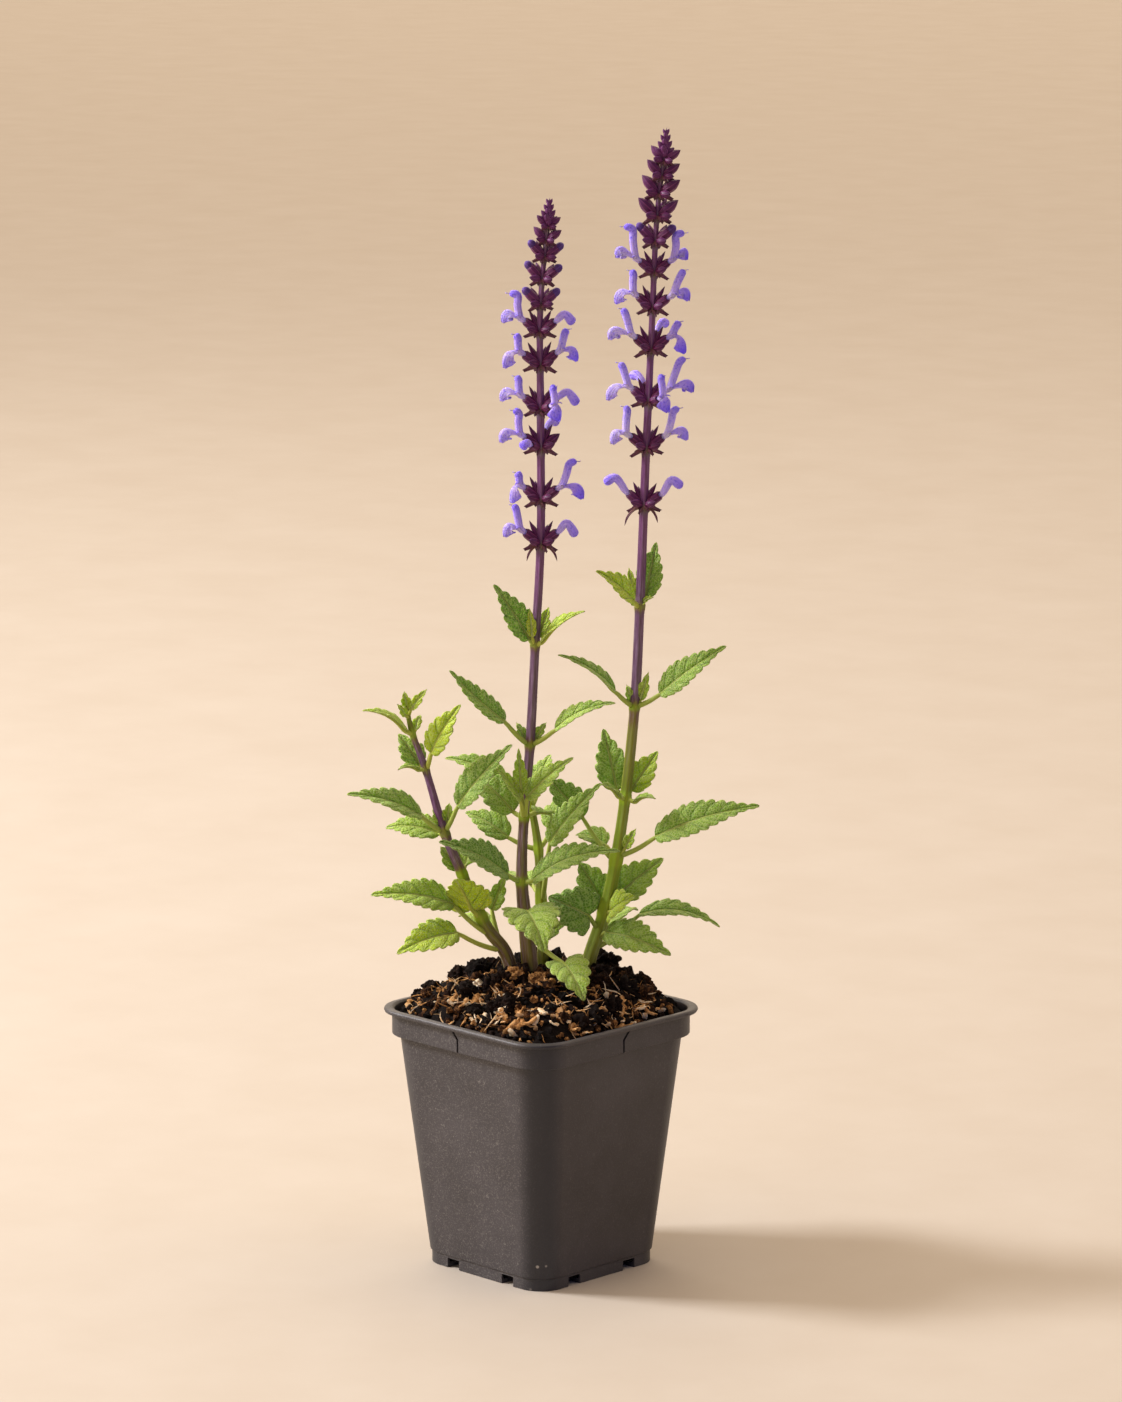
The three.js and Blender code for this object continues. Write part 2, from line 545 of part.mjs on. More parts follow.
// Each whorl: height on the stem, its size, its turn about the stem and its flowers.
const WHORLS = {
  middle: [
    {
      at: 269, size: 1, turn: 6,
      flowers: [open('left', [10, 14.5], [13.5, 3.5]), bent('right', 7.5, [13, 2.5])],
    },
    {
      at: 285, size: 1, turn: -8,
      flowers: [open('left', [9, 10], [11.5, -0.5]), open('right', [13, 14.5], [15.5, 1.5], 2.6)],
    },
    {
      at: 304, size: 1, turn: 8,
      flowers: [
        open('left', [10, 14], [15, 3], 2), bent('leftFront', 2.8, [10.5, 1.5]),
        bent('rightBack', 9, [10, 8]),
      ],
    },
    {
      at: 318, size: 1, turn: -8,
      flowers: [
        open('left', [9, 12], [15, 3.5]), open('rightFront', [8, 9.5], [11, -2.5]),
        bent('right', 6.5, [13.5, 2]),
      ],
    },
    {
      at: 334, size: 1, turn: 8,
      flowers: [open('left', [9, 11.5], [13.5, 0]), open('right', [10, 13], [14, 2])],
    },
    {
      at: 346, size: 0.95, turn: -6,
      flowers: [open('left', [11, 14], [14, 4], 3), bent('right', 6.6, [12.3, 3.2])],
    },
    { at: 356, size: 1, turn: 8, flowers: [] },
    { at: 365, size: 1, turn: -8, flowers: [] },
    { at: 373, size: 0.95, turn: 8, flowers: [] },
    { at: 379, size: 0.8, turn: -8, flowers: [] },
    { at: 384, size: 0.68, turn: 8, flowers: [] },
  ],
  right: [
    { at: 282, size: 1, turn: -6, flowers: [bent('left', 10, [14.5, 8]), bent('right', 9.5, [14, 7])] },
    {
      at: 303, size: 1, turn: 8,
      flowers: [open('left', [8, 15.5], [13, 2.5]), open('right', [12, 14.5], [15.5, 3.5], 2)],
    },
    {
      at: 320, size: 1, turn: -8,
      flowers: [
        open('left', [10.5, 14], [15.5, 1]), open('right', [13.5, 16], [16.5, 4.5], 2),
        open('rightFront', [8, 10.5], [11.5, -2]), bent('leftBack', 9, [10, 8]),
      ],
    },
    {
      at: 339, size: 1, turn: 8,
      flowers: [
        open('left', [10.5, 15], [15.5, 4.5]), open('right', [10.5, 10], [13, -1]),
        bent('rightBack', 9, [10, 8]),
      ],
    },
    {
      at: 354, size: 0.95, turn: -8,
      flowers: [open('left', [8, 13.5], [14, 2]), open('right', [11.5, 14], [13.5, 3.5])],
    },
    {
      at: 367, size: 0.9, turn: 6,
      flowers: [open('left', [11, 16.5], [14, 6], 3), open('right', [11, 14], [12.5, 5], 3)],
    },
    { at: 378, size: 1.05, turn: -8, flowers: [] },
    { at: 387, size: 1.15, turn: 8, flowers: [] },
    { at: 395, size: 1.1, turn: -8, flowers: [] },
    { at: 401.5, size: 0.95, turn: 8, flowers: [] },
    { at: 407, size: 0.85, turn: -8, flowers: [] },
  ],
};

/** Whorls of at least this size have buds with two rings. */
const BIG_BUD = 0.9;

/** Long thin bracts that hang under a spike's lowest whorl: reach to the side and drop. */
const LOW_BRACTS = { middle: [[-5, -6], [6, -6]], right: [[-7, -7], [5, -6]] };

/** The unopened tip of a spike, from the last whorl up to `top`. */
const SPIKE_TIPS = { middle: { from: 387, top: 394.5, x: 3.4 }, right: { from: 411, top: 419, x: 45.2 } };

/** Unit vector at a bearing about Z and a rise above the level. */
function direction(bearing, rise) {
  const flat = Math.cos(rad(rise));
  return vec(flat * Math.cos(rad(bearing)), flat * Math.sin(rad(bearing)), Math.sin(rad(rise)));
}

/** A calyx: a plump bell with a long upper and lower tooth and a hollow mouth. */
function calyx(foot, way, length, radius) {
  const sides = 4;
  const side = way.clone().cross(UP).normalize();
  const lift = side.clone().cross(way);
  const corner = (share, r, i) => foot.clone().addScaledVector(way, share * length)
    .addScaledVector(side, r * Math.sin((2 * Math.PI * i) / sides))
    .addScaledVector(lift, r * Math.cos((2 * Math.PI * i) / sides));
  const ring = (cornerAt) => Array.from({ length: sides }, (_, i) => cornerAt(i));
  const points = [
    foot,
    ...ring((i) => corner(0.58, radius, i)),
    ...ring((i) => corner(i % 2 === 0 ? 1 : 0.84, 0.88 * radius, i)),
    corner(CALYX_HOLLOW, 0, 0),
  ];
  const triangles = skin(2, sides).map((triangle) => triangle.map((index) => index + 1));
  const end = points.length - 1;
  const rim = end - sides;
  for (let i = 0; i < sides; i += 1) {
    const j = (i + 1) % sides;
    triangles.push([0, 1 + j, 1 + i], [rim + i, rim + j, end]);
  }
  return solidFrom(points, triangles);
}

/** The frame of one seat of a whorl. */
function seatFrame(stem, whorl, seat) {
  const [bearing, rise, share] = SEATS[seat];
  const node = stem.pointAt(whorl.at);
  const way = direction(bearing + whorl.turn, rise).applyQuaternion(stem.leanAt(whorl.at));
  const out = direction(bearing + whorl.turn, 0);
  const size = whorl.size * share;
  const foot = node.clone().addScaledVector(way, CALYX_SINK * stem.radiusAt(whorl.at));
  return { node, way, out, foot, length: CALYX_LENGTH * size, radius: CALYX_RADIUS * size };
}

/** Calyces and bracts of one whorl. */
function whorlSolids(stem, whorl) {
  const solids = [];
  Object.keys(SEATS).forEach((seat) => {
    const { node, way, foot, length, radius } = seatFrame(stem, whorl, seat);
    if (whorl.flowers.length > 0) {
      solids.push(calyx(foot, way, length, radius));
    } else {
      const profile = whorl.size < BIG_BUD ? [[0.55, radius]] : [[0.4, 0.75 * radius], [0.72, radius]];
      solids.push(spindle(foot, foot.clone().addScaledVector(way, length), profile, 4));
    }
    if ((seat === 'left' || seat === 'right') && whorl.flowers.length > 0) {
      const reach = direction(SEATS[seat][0] + whorl.turn, -10).multiplyScalar(BRACT_LENGTH * whorl.size);
      solids.push(spindle(node, node.clone().add(reach), [[0.55, BRACT_RADIUS * whorl.size]], 4));
    }
  });
  return solids;
}

/** The closed tip: pairs of buds that shrink towards the top, each pair across the last. */
function tipSolids(stem, { from, top, x }) {
  const end = vec(x, stem.pointAt(from).y, top);
  const start = stem.pointAt(from - 2);
  const solids = [spindle(start, end, [[0.3, 1.6], [0.7, 1.2]], 5)];
  const pairs = 4;
  for (let pair = 0; pair < pairs; pair += 1) {
    const share = pair / pairs;
    const node = start.clone().lerp(end, 0.1 + 0.7 * share);
    for (let half = 0; half < 2; half += 1) {
      const way = direction(90 * pair + 180 * half + 30, 50 + 12 * share);
      const tip = node.clone().addScaledVector(way, 5 - 2.4 * share);
      solids.push(spindle(node, tip, [[0.6, 1.35 - 0.5 * share]], 4));
    }
  }
  return solids;
}

/** Seats a corolla in its calyx, clear of the hollow's bottom, and gives the line on which it starts. */
function corollaStart(frame) {
  const seat = frame.foot.clone().addScaledVector(frame.way, CALYX_HOLLOW * frame.length + 2 * CLEARANCE);
  const mouth = frame.foot.clone().addScaledVector(frame.way, frame.length);
  return { seat, mouth };
}

/** A point of a flower by its reach from the stem and its rise above the whorl. */
const flowerPoint = (frame, [reach, rise]) => frame.node.clone()
  .addScaledVector(frame.out, reach).addScaledVector(UP, rise);

/** Radius along a tube, through stops given as [share of the length, radius]. */
function radiusThrough(stops) {
  return (t) => {
    const above = Math.max(1, stops.findIndex(([share]) => share >= t));
    const [low, high] = [stops[above - 1], stops[above]];
    return THREE.MathUtils.mapLinear(t, low[0], high[0], low[1], high[1]);
  };
}

const OPEN_TUBE = radiusThrough([[0, 0.12], [0.16, 0.7], [0.31, 1.2], [0.6, 1.4], [0.86, 1.6], [1, 0.5]]);
const BENT_TUBE = radiusThrough([[0, 0.12], [0.17, 0.6], [0.4, 1.1], [0.7, 1.7], [0.86, 1.85], [1, 0.9]]);

/** The lower lip's cross-lines: share of its length, half-width, rise of its middle and drop of its edges. */
const LIP_LINES = [[0.15, 1, 1, 0.3], [0.5, 2.2, 3, 1.8], [0.95, 2.7, 2.6, 3.1]];

/** An open corolla: a tube that grows into the sickle-shaped hood, and an arched lower lip that hangs. */
function openCorolla(frame, { hood, lip, hook }) {
  const { seat, mouth } = corollaStart(frame);
  const throat = mouth.clone().addScaledVector(frame.way, 1.2);
  const hoodTip = flowerPoint(frame, hood);
  const inwards = -HOOD_BOW * hook * throat.distanceTo(hoodTip);
  const shin = throat.clone().lerp(hoodTip, 0.5).addScaledVector(frame.out, inwards);
  const bend = hoodTip.clone().addScaledVector(frame.out, -hook).addScaledVector(UP, hook / 3 - HOOD_END);
  const path = new THREE.CatmullRomCurve3([seat, mouth, throat, shin, bend, hoodTip]);
  const hoodSolid = tube(path, OPEN_TUBE, 4, 6, 0.85, 0);

  const lipTip = flowerPoint(frame, lip);
  const way = lipTip.clone().sub(throat);
  const across = UP.clone().cross(frame.out).normalize();
  const stations = LIP_LINES.map(([share, half, rise, drop], i) => {
    const middle = throat.clone().addScaledVector(way, share).addScaledVector(UP, rise)
      .addScaledVector(across, LIP_OFFSET);
    const edge = (sign) => middle.clone().addScaledVector(across, sign * half).addScaledVector(UP, -drop);
    const up = frame.out.clone().multiplyScalar(0.5 * i).add(UP).normalize();
    return { left: edge(-1), middle, right: edge(1), up };
  });
  const root = throat.clone().addScaledVector(frame.way, -1);
  const notch = lipTip.clone().addScaledVector(frame.out, -0.8);
  return joined([hoodSolid, blade(root, stations, notch)]);
}

/** A corolla that isn't open yet: a tube bent over, with a club end. */
function bentCorolla(frame, { crest, end }) {
  const { seat, mouth } = corollaStart(frame);
  const bend = flowerPoint(frame, [0.72 * end[0], crest]);
  const path = new THREE.CatmullRomCurve3([seat, mouth, bend, flowerPoint(frame, end)]);
  return tube(path, BENT_TUBE, 4, 6, 0.9, 0);
}

// ---------------------------------------------------------------------------------------------------------
// Shoots
// ---------------------------------------------------------------------------------------------------------

/** A leafy stem with, where it flowers, its calyces, bracts and buds, as one body. */
function buildShoot(name) {
  const stem = new Stem(STEMS[name]);
  const solids = [stem.solid()];
  LEAVES[name].forEach((leaf) => solids.push(leafSolid(stem, leaf)));
  (WHORLS[name] ?? []).forEach((whorl) => solids.push(...whorlSolids(stem, whorl)));
  if (SPIKE_TIPS[name]) {
    solids.push(...tipSolids(stem, SPIKE_TIPS[name]));
    const node = stem.pointAt(WHORLS[name][0].at);
    LOW_BRACTS[name].forEach(([reach, drop]) => {
      const tip = node.clone().add(vec(reach, -2, drop));
      solids.push(spindle(node, tip, [[0.5, 0.6]], 4));
    });
  }
  return meshFrom(joined(solids), `shoot_${name}`, COLOURS.stem, 0.6);
}

/** Every corolla of a spike, each a mesh of its own. */
function buildCorollas(name) {
  const stem = new Stem(STEMS[name]);
  return WHORLS[name].flatMap((whorl, row) => whorl.flowers.map((flower) => {
    const frame = seatFrame(stem, whorl, flower.seat);
    const solid = flower.hood ? openCorolla(frame, flower) : bentCorolla(frame, flower);
    return meshFrom(solid, `corolla_${name}_${row + 1}_${flower.seat}`, COLOURS.corolla, 0.5);
  }));
}

// ---------------------------------------------------------------------------------------------------------
// Soil
// ---------------------------------------------------------------------------------------------------------

/** Points evenly turned about Z on a square with round corners, pulled in to a share of its size. */
function soilRing(side, corner, z, share = 1) {
  const half = side / 2;
  const core = half - corner;
  return Array.from({ length: SOIL_POINTS }, (_, i) => {
    const angle = (2 * Math.PI * i) / SOIL_POINTS;
    const c = Math.abs(Math.cos(angle));
    const s = Math.abs(Math.sin(angle));
    const straight = half / Math.max(c, s);
    const onSide = straight * Math.min(c, s) <= core;
    const reach = core * (c + s) + Math.sqrt(core * core * (c + s) ** 2 - 2 * core * core + corner * corner);
    const radius = share * (onSide ? straight : reach);
    return vec(radius * Math.cos(angle), radius * Math.sin(angle), z);
  });
}

/** The root ball inside the wall, with a crumbled dome on top. */
function buildSoil() {
  const gap = 2 * CLEARANCE;
  const rim = POT_HEIGHT - SOIL_EDGE_DROP;
  const [, [topSide, topCorner], ...lower] = INSIDE;
  const wallRings = lower.reverse().map(
    ([side, corner, z]) => soilRing(side - 2 * gap, corner - gap, z + gap),
  );
  const random = seededRandom(27);
  const domeRings = [1, 0.97, 0.9, 0.8, 0.68, 0.54, 0.39, 0.22, 0.06].map((share) => {
    const rise = SOIL_CROWN * (1 - share ** 2.8);
    const ring = soilRing(topSide - 2 * gap, topCorner - gap, rim + rise, share);
    const rough = share < 0.95 ? SOIL_RELIEF * Math.min(1, 0.3 + share) : 0;
    return ring.map((p) => vec(p.x, p.y, p.z + rough * (2 * random() - 0.8)));
  });
  const holes = Object.values(STEMS).map((rows) => new Stem(rows).hole().rotate([0, 0, PLANT_TURN]));
  return meshFrom(loft([...wallRings, ...domeRings]).subtract(joined(holes)), 'soil', COLOURS.soil, 0.95);
}

// ---------------------------------------------------------------------------------------------------------

const plant = new THREE.Group();
plant.rotation.z = rad(PLANT_TURN);
Object.keys(STEMS).forEach((name) => plant.add(buildShoot(name)));
Object.keys(WHORLS).forEach((name) => plant.add(...buildCorollas(name)));

const salvia = new THREE.Group();
salvia.add(buildPot(), buildSoil(), plant);

export default salvia;
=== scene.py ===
"""Perennial salvia in a square nursery pot: its fine pieces, finishes, light and camera.

The tables are in millimetres. The pot's sides lie along X and Y, with the origin under its middle. The plant is
laid out in axes of its own, turned by 45 degrees: x runs from corner to corner of the pot, y to the corner behind.
"""

import sys
import logging
import math
import random
from collections.abc import Callable
from dataclasses import dataclass, field
from enum import Enum
from functools import partial

import bpy
import numpy as np
from mathutils import Matrix, Vector, noise


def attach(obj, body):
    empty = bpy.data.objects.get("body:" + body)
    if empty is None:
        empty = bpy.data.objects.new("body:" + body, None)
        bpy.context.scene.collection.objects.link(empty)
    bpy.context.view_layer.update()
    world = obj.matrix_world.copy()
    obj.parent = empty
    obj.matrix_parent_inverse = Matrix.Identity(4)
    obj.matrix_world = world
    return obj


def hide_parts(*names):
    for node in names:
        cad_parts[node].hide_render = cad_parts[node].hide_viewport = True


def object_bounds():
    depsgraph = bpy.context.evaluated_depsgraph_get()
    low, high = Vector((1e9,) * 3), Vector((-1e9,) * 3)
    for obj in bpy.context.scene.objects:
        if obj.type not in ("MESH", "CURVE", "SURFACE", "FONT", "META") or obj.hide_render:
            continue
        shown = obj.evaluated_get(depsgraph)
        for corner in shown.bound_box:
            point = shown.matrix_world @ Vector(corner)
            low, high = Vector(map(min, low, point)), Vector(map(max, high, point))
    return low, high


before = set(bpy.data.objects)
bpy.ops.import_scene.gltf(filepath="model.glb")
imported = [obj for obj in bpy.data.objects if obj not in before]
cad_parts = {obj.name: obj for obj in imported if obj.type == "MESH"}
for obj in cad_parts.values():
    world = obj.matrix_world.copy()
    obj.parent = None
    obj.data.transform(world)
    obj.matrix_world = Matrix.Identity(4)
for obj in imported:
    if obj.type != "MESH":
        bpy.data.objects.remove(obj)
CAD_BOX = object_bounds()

LOG = logging.getLogger("salvia")

MM = 0.001
FULL_TURN = 2 * math.pi
PLANT_TURN = math.radians(45)
UP = np.array([0.0, 0.0, 1.0])
BODY = "root"
POINT_END = 0.02  # radius of a tube's closed end

# --- Small helpers ---


def unit(vector: np.ndarray) -> np.ndarray:
    """The vector, or each row of it, at length one."""
    return vector / np.linalg.norm(vector, axis=-1, keepdims=True)


def smoothstep(low: float, high: float, value: np.ndarray) -> np.ndarray:
    """Rises smoothly from 0 at low to 1 at high."""
    share = np.clip((value - low) / (high - low), 0, 1)
    return share * share * (3 - 2 * share)


def direction(bearing: float, rise: float) -> np.ndarray:
    """Unit vector at a bearing about Z and a rise above the level, in degrees."""
    turn, tilt = math.radians(bearing), math.radians(rise)
    return np.array([math.cos(tilt) * math.cos(turn), math.cos(tilt) * math.sin(turn), math.sin(tilt)])


def axes_along(way: np.ndarray, width: float, height: float, length: float) -> np.ndarray:
    """Axes of what grows along a way: sideways, up and along, each at its own length."""
    side = unit(np.cross(way, UP))
    return np.array([-side * width, np.cross(side, way) * height, way * length])


def smooth_path(points: np.ndarray, per_span: int = 24) -> np.ndarray:
    """Dense points of a centripetal Catmull-Rom curve.

    Args:
        points: the points that the curve passes through.
        per_span: samples between one point and the next.

    Returns:
        The samples, the last point included.
    """
    points = np.asarray(points, float)
    ends = np.vstack([2 * points[0] - points[1], points, 2 * points[-1] - points[-2]])
    s = np.linspace(0, 1, per_span, endpoint=False)[:, None]
    spans = []
    for p0, p1, p2, p3 in zip(ends, ends[1:], ends[2:], ends[3:]):
        d0, d1, d2 = (max(np.linalg.norm(b - a), 1e-6) ** 0.5 for a, b in ((p0, p1), (p1, p2), (p2, p3)))
        m1 = ((p1 - p0) / d0 - (p2 - p0) / (d0 + d1) + (p2 - p1) / d1) * d1
        m2 = ((p2 - p1) / d1 - (p3 - p1) / (d1 + d2) + (p3 - p2) / d2) * d1
        spans.append(p1 + m1 * s + (3 * (p2 - p1) - 2 * m1 - m2) * s**2 + (2 * (p1 - p2) + m1 + m2) * s**3)
    return np.vstack([*spans, points[-1:]])


def resample(path: np.ndarray, shares: np.ndarray) -> tuple[np.ndarray, np.ndarray]:
    """Points and unit tangents along a path.

    Args:
        path: its points.
        shares: where they are wanted, as shares of its length.

    Returns:
        The points and the tangents.
    """
    lengths = np.concatenate([[0], np.cumsum(np.linalg.norm(np.diff(path, axis=0), axis=1))])
    points = np.column_stack([np.interp(shares, lengths / lengths[-1], path[:, k]) for k in range(3)])
    return points, unit(np.gradient(points, shares, axis=0))


def tube_rings(
    points: np.ndarray,
    tangents: np.ndarray,
    radii: np.ndarray,
    sides: int,
    flatness: float = 1,
    outline: np.ndarray | float = 1.0,
) -> np.ndarray:
    """Rings round a path, carried along it without twist.

    Args:
        points: the path.
        tangents: its unit tangents.
        radii: the radius at each point.
        sides: corners of a ring.
        flatness: squeezes the rings sideways.
        outline: factors on the radius round a ring, sides + 1 of them, or one for all.

    Returns:
        An array of rings, each closed by its first corner once more.
    """
    steep = abs(tangents[0][2]) > 0.8
    side = unit(np.cross(np.array([0.0, -1.0, 0.0]) if steep else UP, tangents[0]))
    angles = np.linspace(0, FULL_TURN, sides + 1)
    rings = []
    for point, tangent, radius in zip(points, tangents, radii):
        side = unit(side - tangent * (side @ tangent))
        x = (np.cos(angles) * outline * radius * flatness)[:, None]
        y = (np.sin(angles) * outline * radius)[:, None]
        rings.append(point + x * side + y * np.cross(tangent, side))
    return np.array(rings)


# --- Mesh work ---


def only(*pieces: bpy.types.Object) -> None:
    """Selects these objects alone and makes the first the active one.

    Args:
        pieces: the objects.
    """
    bpy.ops.object.select_all(action="DESELECT")
    for piece in pieces:
        piece.select_set(True)
    bpy.context.view_layer.objects.active = pieces[0]


def started(primitive: Callable, **settings: float | tuple) -> bpy.types.Object:
    """Adds a primitive with nothing else selected.

    Args:
        primitive: the operator that adds it.
        settings: its size and place.

    Returns:
        The new object.
    """
    bpy.ops.object.select_all(action="DESELECT")
    primitive(**settings)
    return bpy.context.object


def sheet(points: np.ndarray) -> bpy.types.Object:
    """A grid whose vertices are moved to rows of points; its UV map runs over columns and rows.

    Args:
        points: an array of rows of points.

    Returns:
        The sheet.
    """
    rows, columns = points.shape[:2]
    made = started(bpy.ops.mesh.primitive_grid_add, x_subdivisions=columns - 1, y_subdivisions=rows - 1, size=1)
    made.data.vertices.foreach_set("co", points.reshape(-1))
    made.data.update()
    return made


def weld(piece: bpy.types.Object, gap: float = 0.004, closed: bool = True) -> bpy.types.Object:
    """Merges seams and poles, and on a closed form caps the ends and turns the faces outwards.

    Args:
        piece: the object.
        gap: how far apart vertices may be that are merged, in millimetres.
        closed: whether it is a closed form.

    Returns:
        The same object.
    """
    only(piece)
    bpy.ops.object.mode_set(mode="EDIT")
    bpy.ops.mesh.select_all(action="SELECT")
    bpy.ops.mesh.remove_doubles(threshold=gap)
    if closed:
        bpy.ops.mesh.fill_holes(sides=0)
        bpy.ops.mesh.select_all(action="SELECT")
        bpy.ops.mesh.normals_make_consistent(inside=False)
    bpy.ops.object.mode_set(mode="OBJECT")
    return piece


def mark(piece: bpy.types.Object, **values: np.ndarray | float) -> bpy.types.Object:
    """Stores numbers on a piece's vertices, for its finish to read.

    Args:
        piece: the object.
        values: by name, a number for each vertex or one for all.

    Returns:
        The same object.
    """
    count = len(piece.data.vertices)
    for name, value in values.items():
        layer = piece.data.attributes.get(name) or piece.data.attributes.new(name, "FLOAT", "POINT")
        layer.data.foreach_set("value", np.array(np.broadcast_to(value, count), np.float32))
    return piece


def modify(piece: bpy.types.Object, kind: str, **settings: object) -> bpy.types.Object:
    """Adds one modifier and applies it.

    Args:
        piece: the object.
        kind: the modifier's type.
        settings: the modifier's settings.

    Returns:
        The same object.
    """
    only(piece)
    modifier = piece.modifiers.new(kind.title(), kind)
    for name, value in settings.items():
        setattr(modifier, name, value)
    bpy.ops.object.modifier_apply(modifier=modifier.name)
    return piece


def join(pieces: list[bpy.types.Object]) -> bpy.types.Object:
    """Makes one object of several.

    Args:
        pieces: the objects.

    Returns:
        The first, which now holds them all.
    """
    only(*pieces)
    if len(pieces) > 1:
        bpy.ops.object.join()
    return pieces[0]


def dress(piece: bpy.types.Object, *materials: bpy.types.Material) -> bpy.types.Object:
    """Gives a piece its materials.

    Args:
        piece: the object.
        materials: its materials, in order.

    Returns:
        The same object.
    """
    piece.data.materials.clear()
    for material in materials:
        piece.data.materials.append(material)
    return piece


@dataclass
class Pattern:
    """A small mesh that is modelled once and copied."""

    points: np.ndarray
    faces: np.ndarray
    uv: np.ndarray

    @classmethod
    def of(cls, piece: bpy.types.Object) -> "Pattern":
        """Reads a modelled object.

        Args:
            piece: the object, which is then removed.

        Returns:
            Its triangles as a pattern.
        """
        mesh = piece.data
        mesh.calc_loop_triangles()
        points, uv = np.empty(len(mesh.vertices) * 3), np.zeros(len(mesh.loops) * 2)
        mesh.vertices.foreach_get("co", points)
        if mesh.uv_layers.active:
            mesh.uv_layers.active.data.foreach_get("uv", uv)
        faces, loops = (np.array([list(getattr(triangle, part)) for triangle in mesh.loop_triangles])
                        for part in ("vertices", "loops"))
        bpy.data.objects.remove(piece)
        return cls(points.reshape(-1, 3), faces, uv.reshape(-1, 2)[loops])


@dataclass
class Cluster:
    """Copies of patterns, gathered into one mesh."""

    points: list[np.ndarray] = field(default_factory=list)
    faces: list[np.ndarray] = field(default_factory=list)
    uv: list[np.ndarray] = field(default_factory=list)
    tones: list[np.ndarray] = field(default_factory=list)
    count: int = 0

    def add(self, pattern: Pattern, place: np.ndarray, axes: np.ndarray, tone: float = 0.5) -> None:
        """Adds a copy.

        Args:
            pattern: what is copied.
            place: where its origin goes.
            axes: its x, y and z axes as rows, their lengths its scale.
            tone: a number for its finish.
        """
        self.points.append(pattern.points @ axes + place)
        self.faces.append(pattern.faces + self.count)
        self.uv.append(pattern.uv)
        self.tones.append(np.full(len(pattern.points), tone))
        self.count += len(pattern.points)

    def piece(self, name: str) -> bpy.types.Object:
        """Makes one object of the copies.

        Args:
            name: its name.

        Returns:
            The object.
        """
        mesh = bpy.data.meshes.new(name)
        mesh.from_pydata(np.vstack(self.points).tolist(), [], np.vstack(self.faces).tolist())
        mesh.uv_layers.new(name="UVMap").data.foreach_set("uv", np.vstack(self.uv).reshape(-1))
        made = bpy.data.objects.new(name, mesh)
        bpy.context.scene.collection.objects.link(made)
        return mark(made, tone=np.concatenate(self.tones))


def hand_over(
    piece: bpy.types.Object, name: str, nodes: list[str], turned: bool = True, smooth: float = 180
) -> None:
    """Takes a piece from millimetres to its place in the frame and says what it stands for.

    Args:
        piece: the piece, modelled in millimetres.
        name: its name.
        nodes: the CAD nodes that it replaces.
        turned: whether it is laid out in the plant's axes.
        smooth: the angle in degrees up to which its faces are shaded as one.
    """
    piece.name = piece.data.name = name
    piece.scale = (MM, MM, MM)
    piece.rotation_euler = (0, 0, PLANT_TURN if turned else 0)
    only(piece)
    bpy.ops.object.transform_apply(location=True, rotation=True, scale=True)
    places = np.empty(len(piece.data.vertices) * 3)
    piece.data.vertices.foreach_get("co", places)
    kept = np.clip(places.reshape(-1, 3), *(np.array(corner) for corner in CAD_BOX))
    piece.data.vertices.foreach_set("co", kept.reshape(-1))
    bpy.ops.object.shade_smooth_by_angle(angle=math.radians(smooth))
    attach(piece, BODY)
    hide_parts(*nodes)
    LOG.info("%s: %d faces, stands for %s", name, len(piece.data.polygons), ", ".join(nodes))


# --- Finishes ---

SETTINGS = {  # usual settings of a kind of node
    "MapRange": {"interpolation_type": "SMOOTHSTEP"},
    "Mix": {"data_type": "RGBA", "clamp_factor": True},
}
INPUTS = {"TexNoise": {"Detail": 4.0, "Roughness": 0.6}}  # usual values of its inputs


def linear(colour: str) -> tuple[float, float, float, float]:
    """An sRGB hex colour as linear RGBA."""
    values = [int(colour[i : i + 2], 16) / 255 for i in (1, 3, 5)]
    return (*(v / 12.92 if v <= 0.04045 else ((v + 0.055) / 1.055) ** 2.4 for v in values), 1.0)


def per_mm(size: float) -> float:
    """A texture's scale for features of this size in millimetres."""
    return 1 / (size * MM)


def add_node(
    tree: bpy.types.NodeTree, kind: str, inputs: tuple | dict = (), out: int | str = 0, stops: tuple = (),
    **settings: str | bool,
) -> bpy.types.NodeSocket | None:
    """Adds a node with its settings and links.

    Args:
        tree: where it is added.
        kind: its type, without the common beginning.
        inputs: values of its inputs or the sockets that feed them, in order, or by name or number.
        out: the wanted output.
        stops: places and colours of a colour ramp.
        settings: its own settings, apart from the usual ones.

    Returns:
        The wanted output, or None from a node that has no outputs.
    """
    node = tree.nodes.new(f"ShaderNode{kind}")
    for name, value in (SETTINGS.get(kind, {}) | settings).items():
        setattr(node, name, value)
    while stops and len(node.color_ramp.elements) < len(stops):
        node.color_ramp.elements.new(0.5)
    for number, (place, colour) in enumerate(stops):
        element = node.color_ramp.elements[number]
        element.position, element.color = place, linear(colour)
    given = inputs if isinstance(inputs, dict) else dict(enumerate(inputs))
    for key, value in (INPUTS.get(kind, {}) | given).items():
        if isinstance(value, bpy.types.NodeSocket):
            tree.links.new(value, node.inputs[key])
        else:
            node.inputs[key].default_value = value
    return node.outputs[out] if len(node.outputs) else None


@dataclass
class Coat:
    """What a finish's pattern gives its shader: a first colour, (share, colour) layers over it, and a relief."""

    first: bpy.types.NodeSocket
    layers: list[tuple[bpy.types.NodeSocket, str]]
    height: bpy.types.NodeSocket
    more: dict[str, bpy.types.NodeSocket] = field(default_factory=dict)  # other inputs of the shader


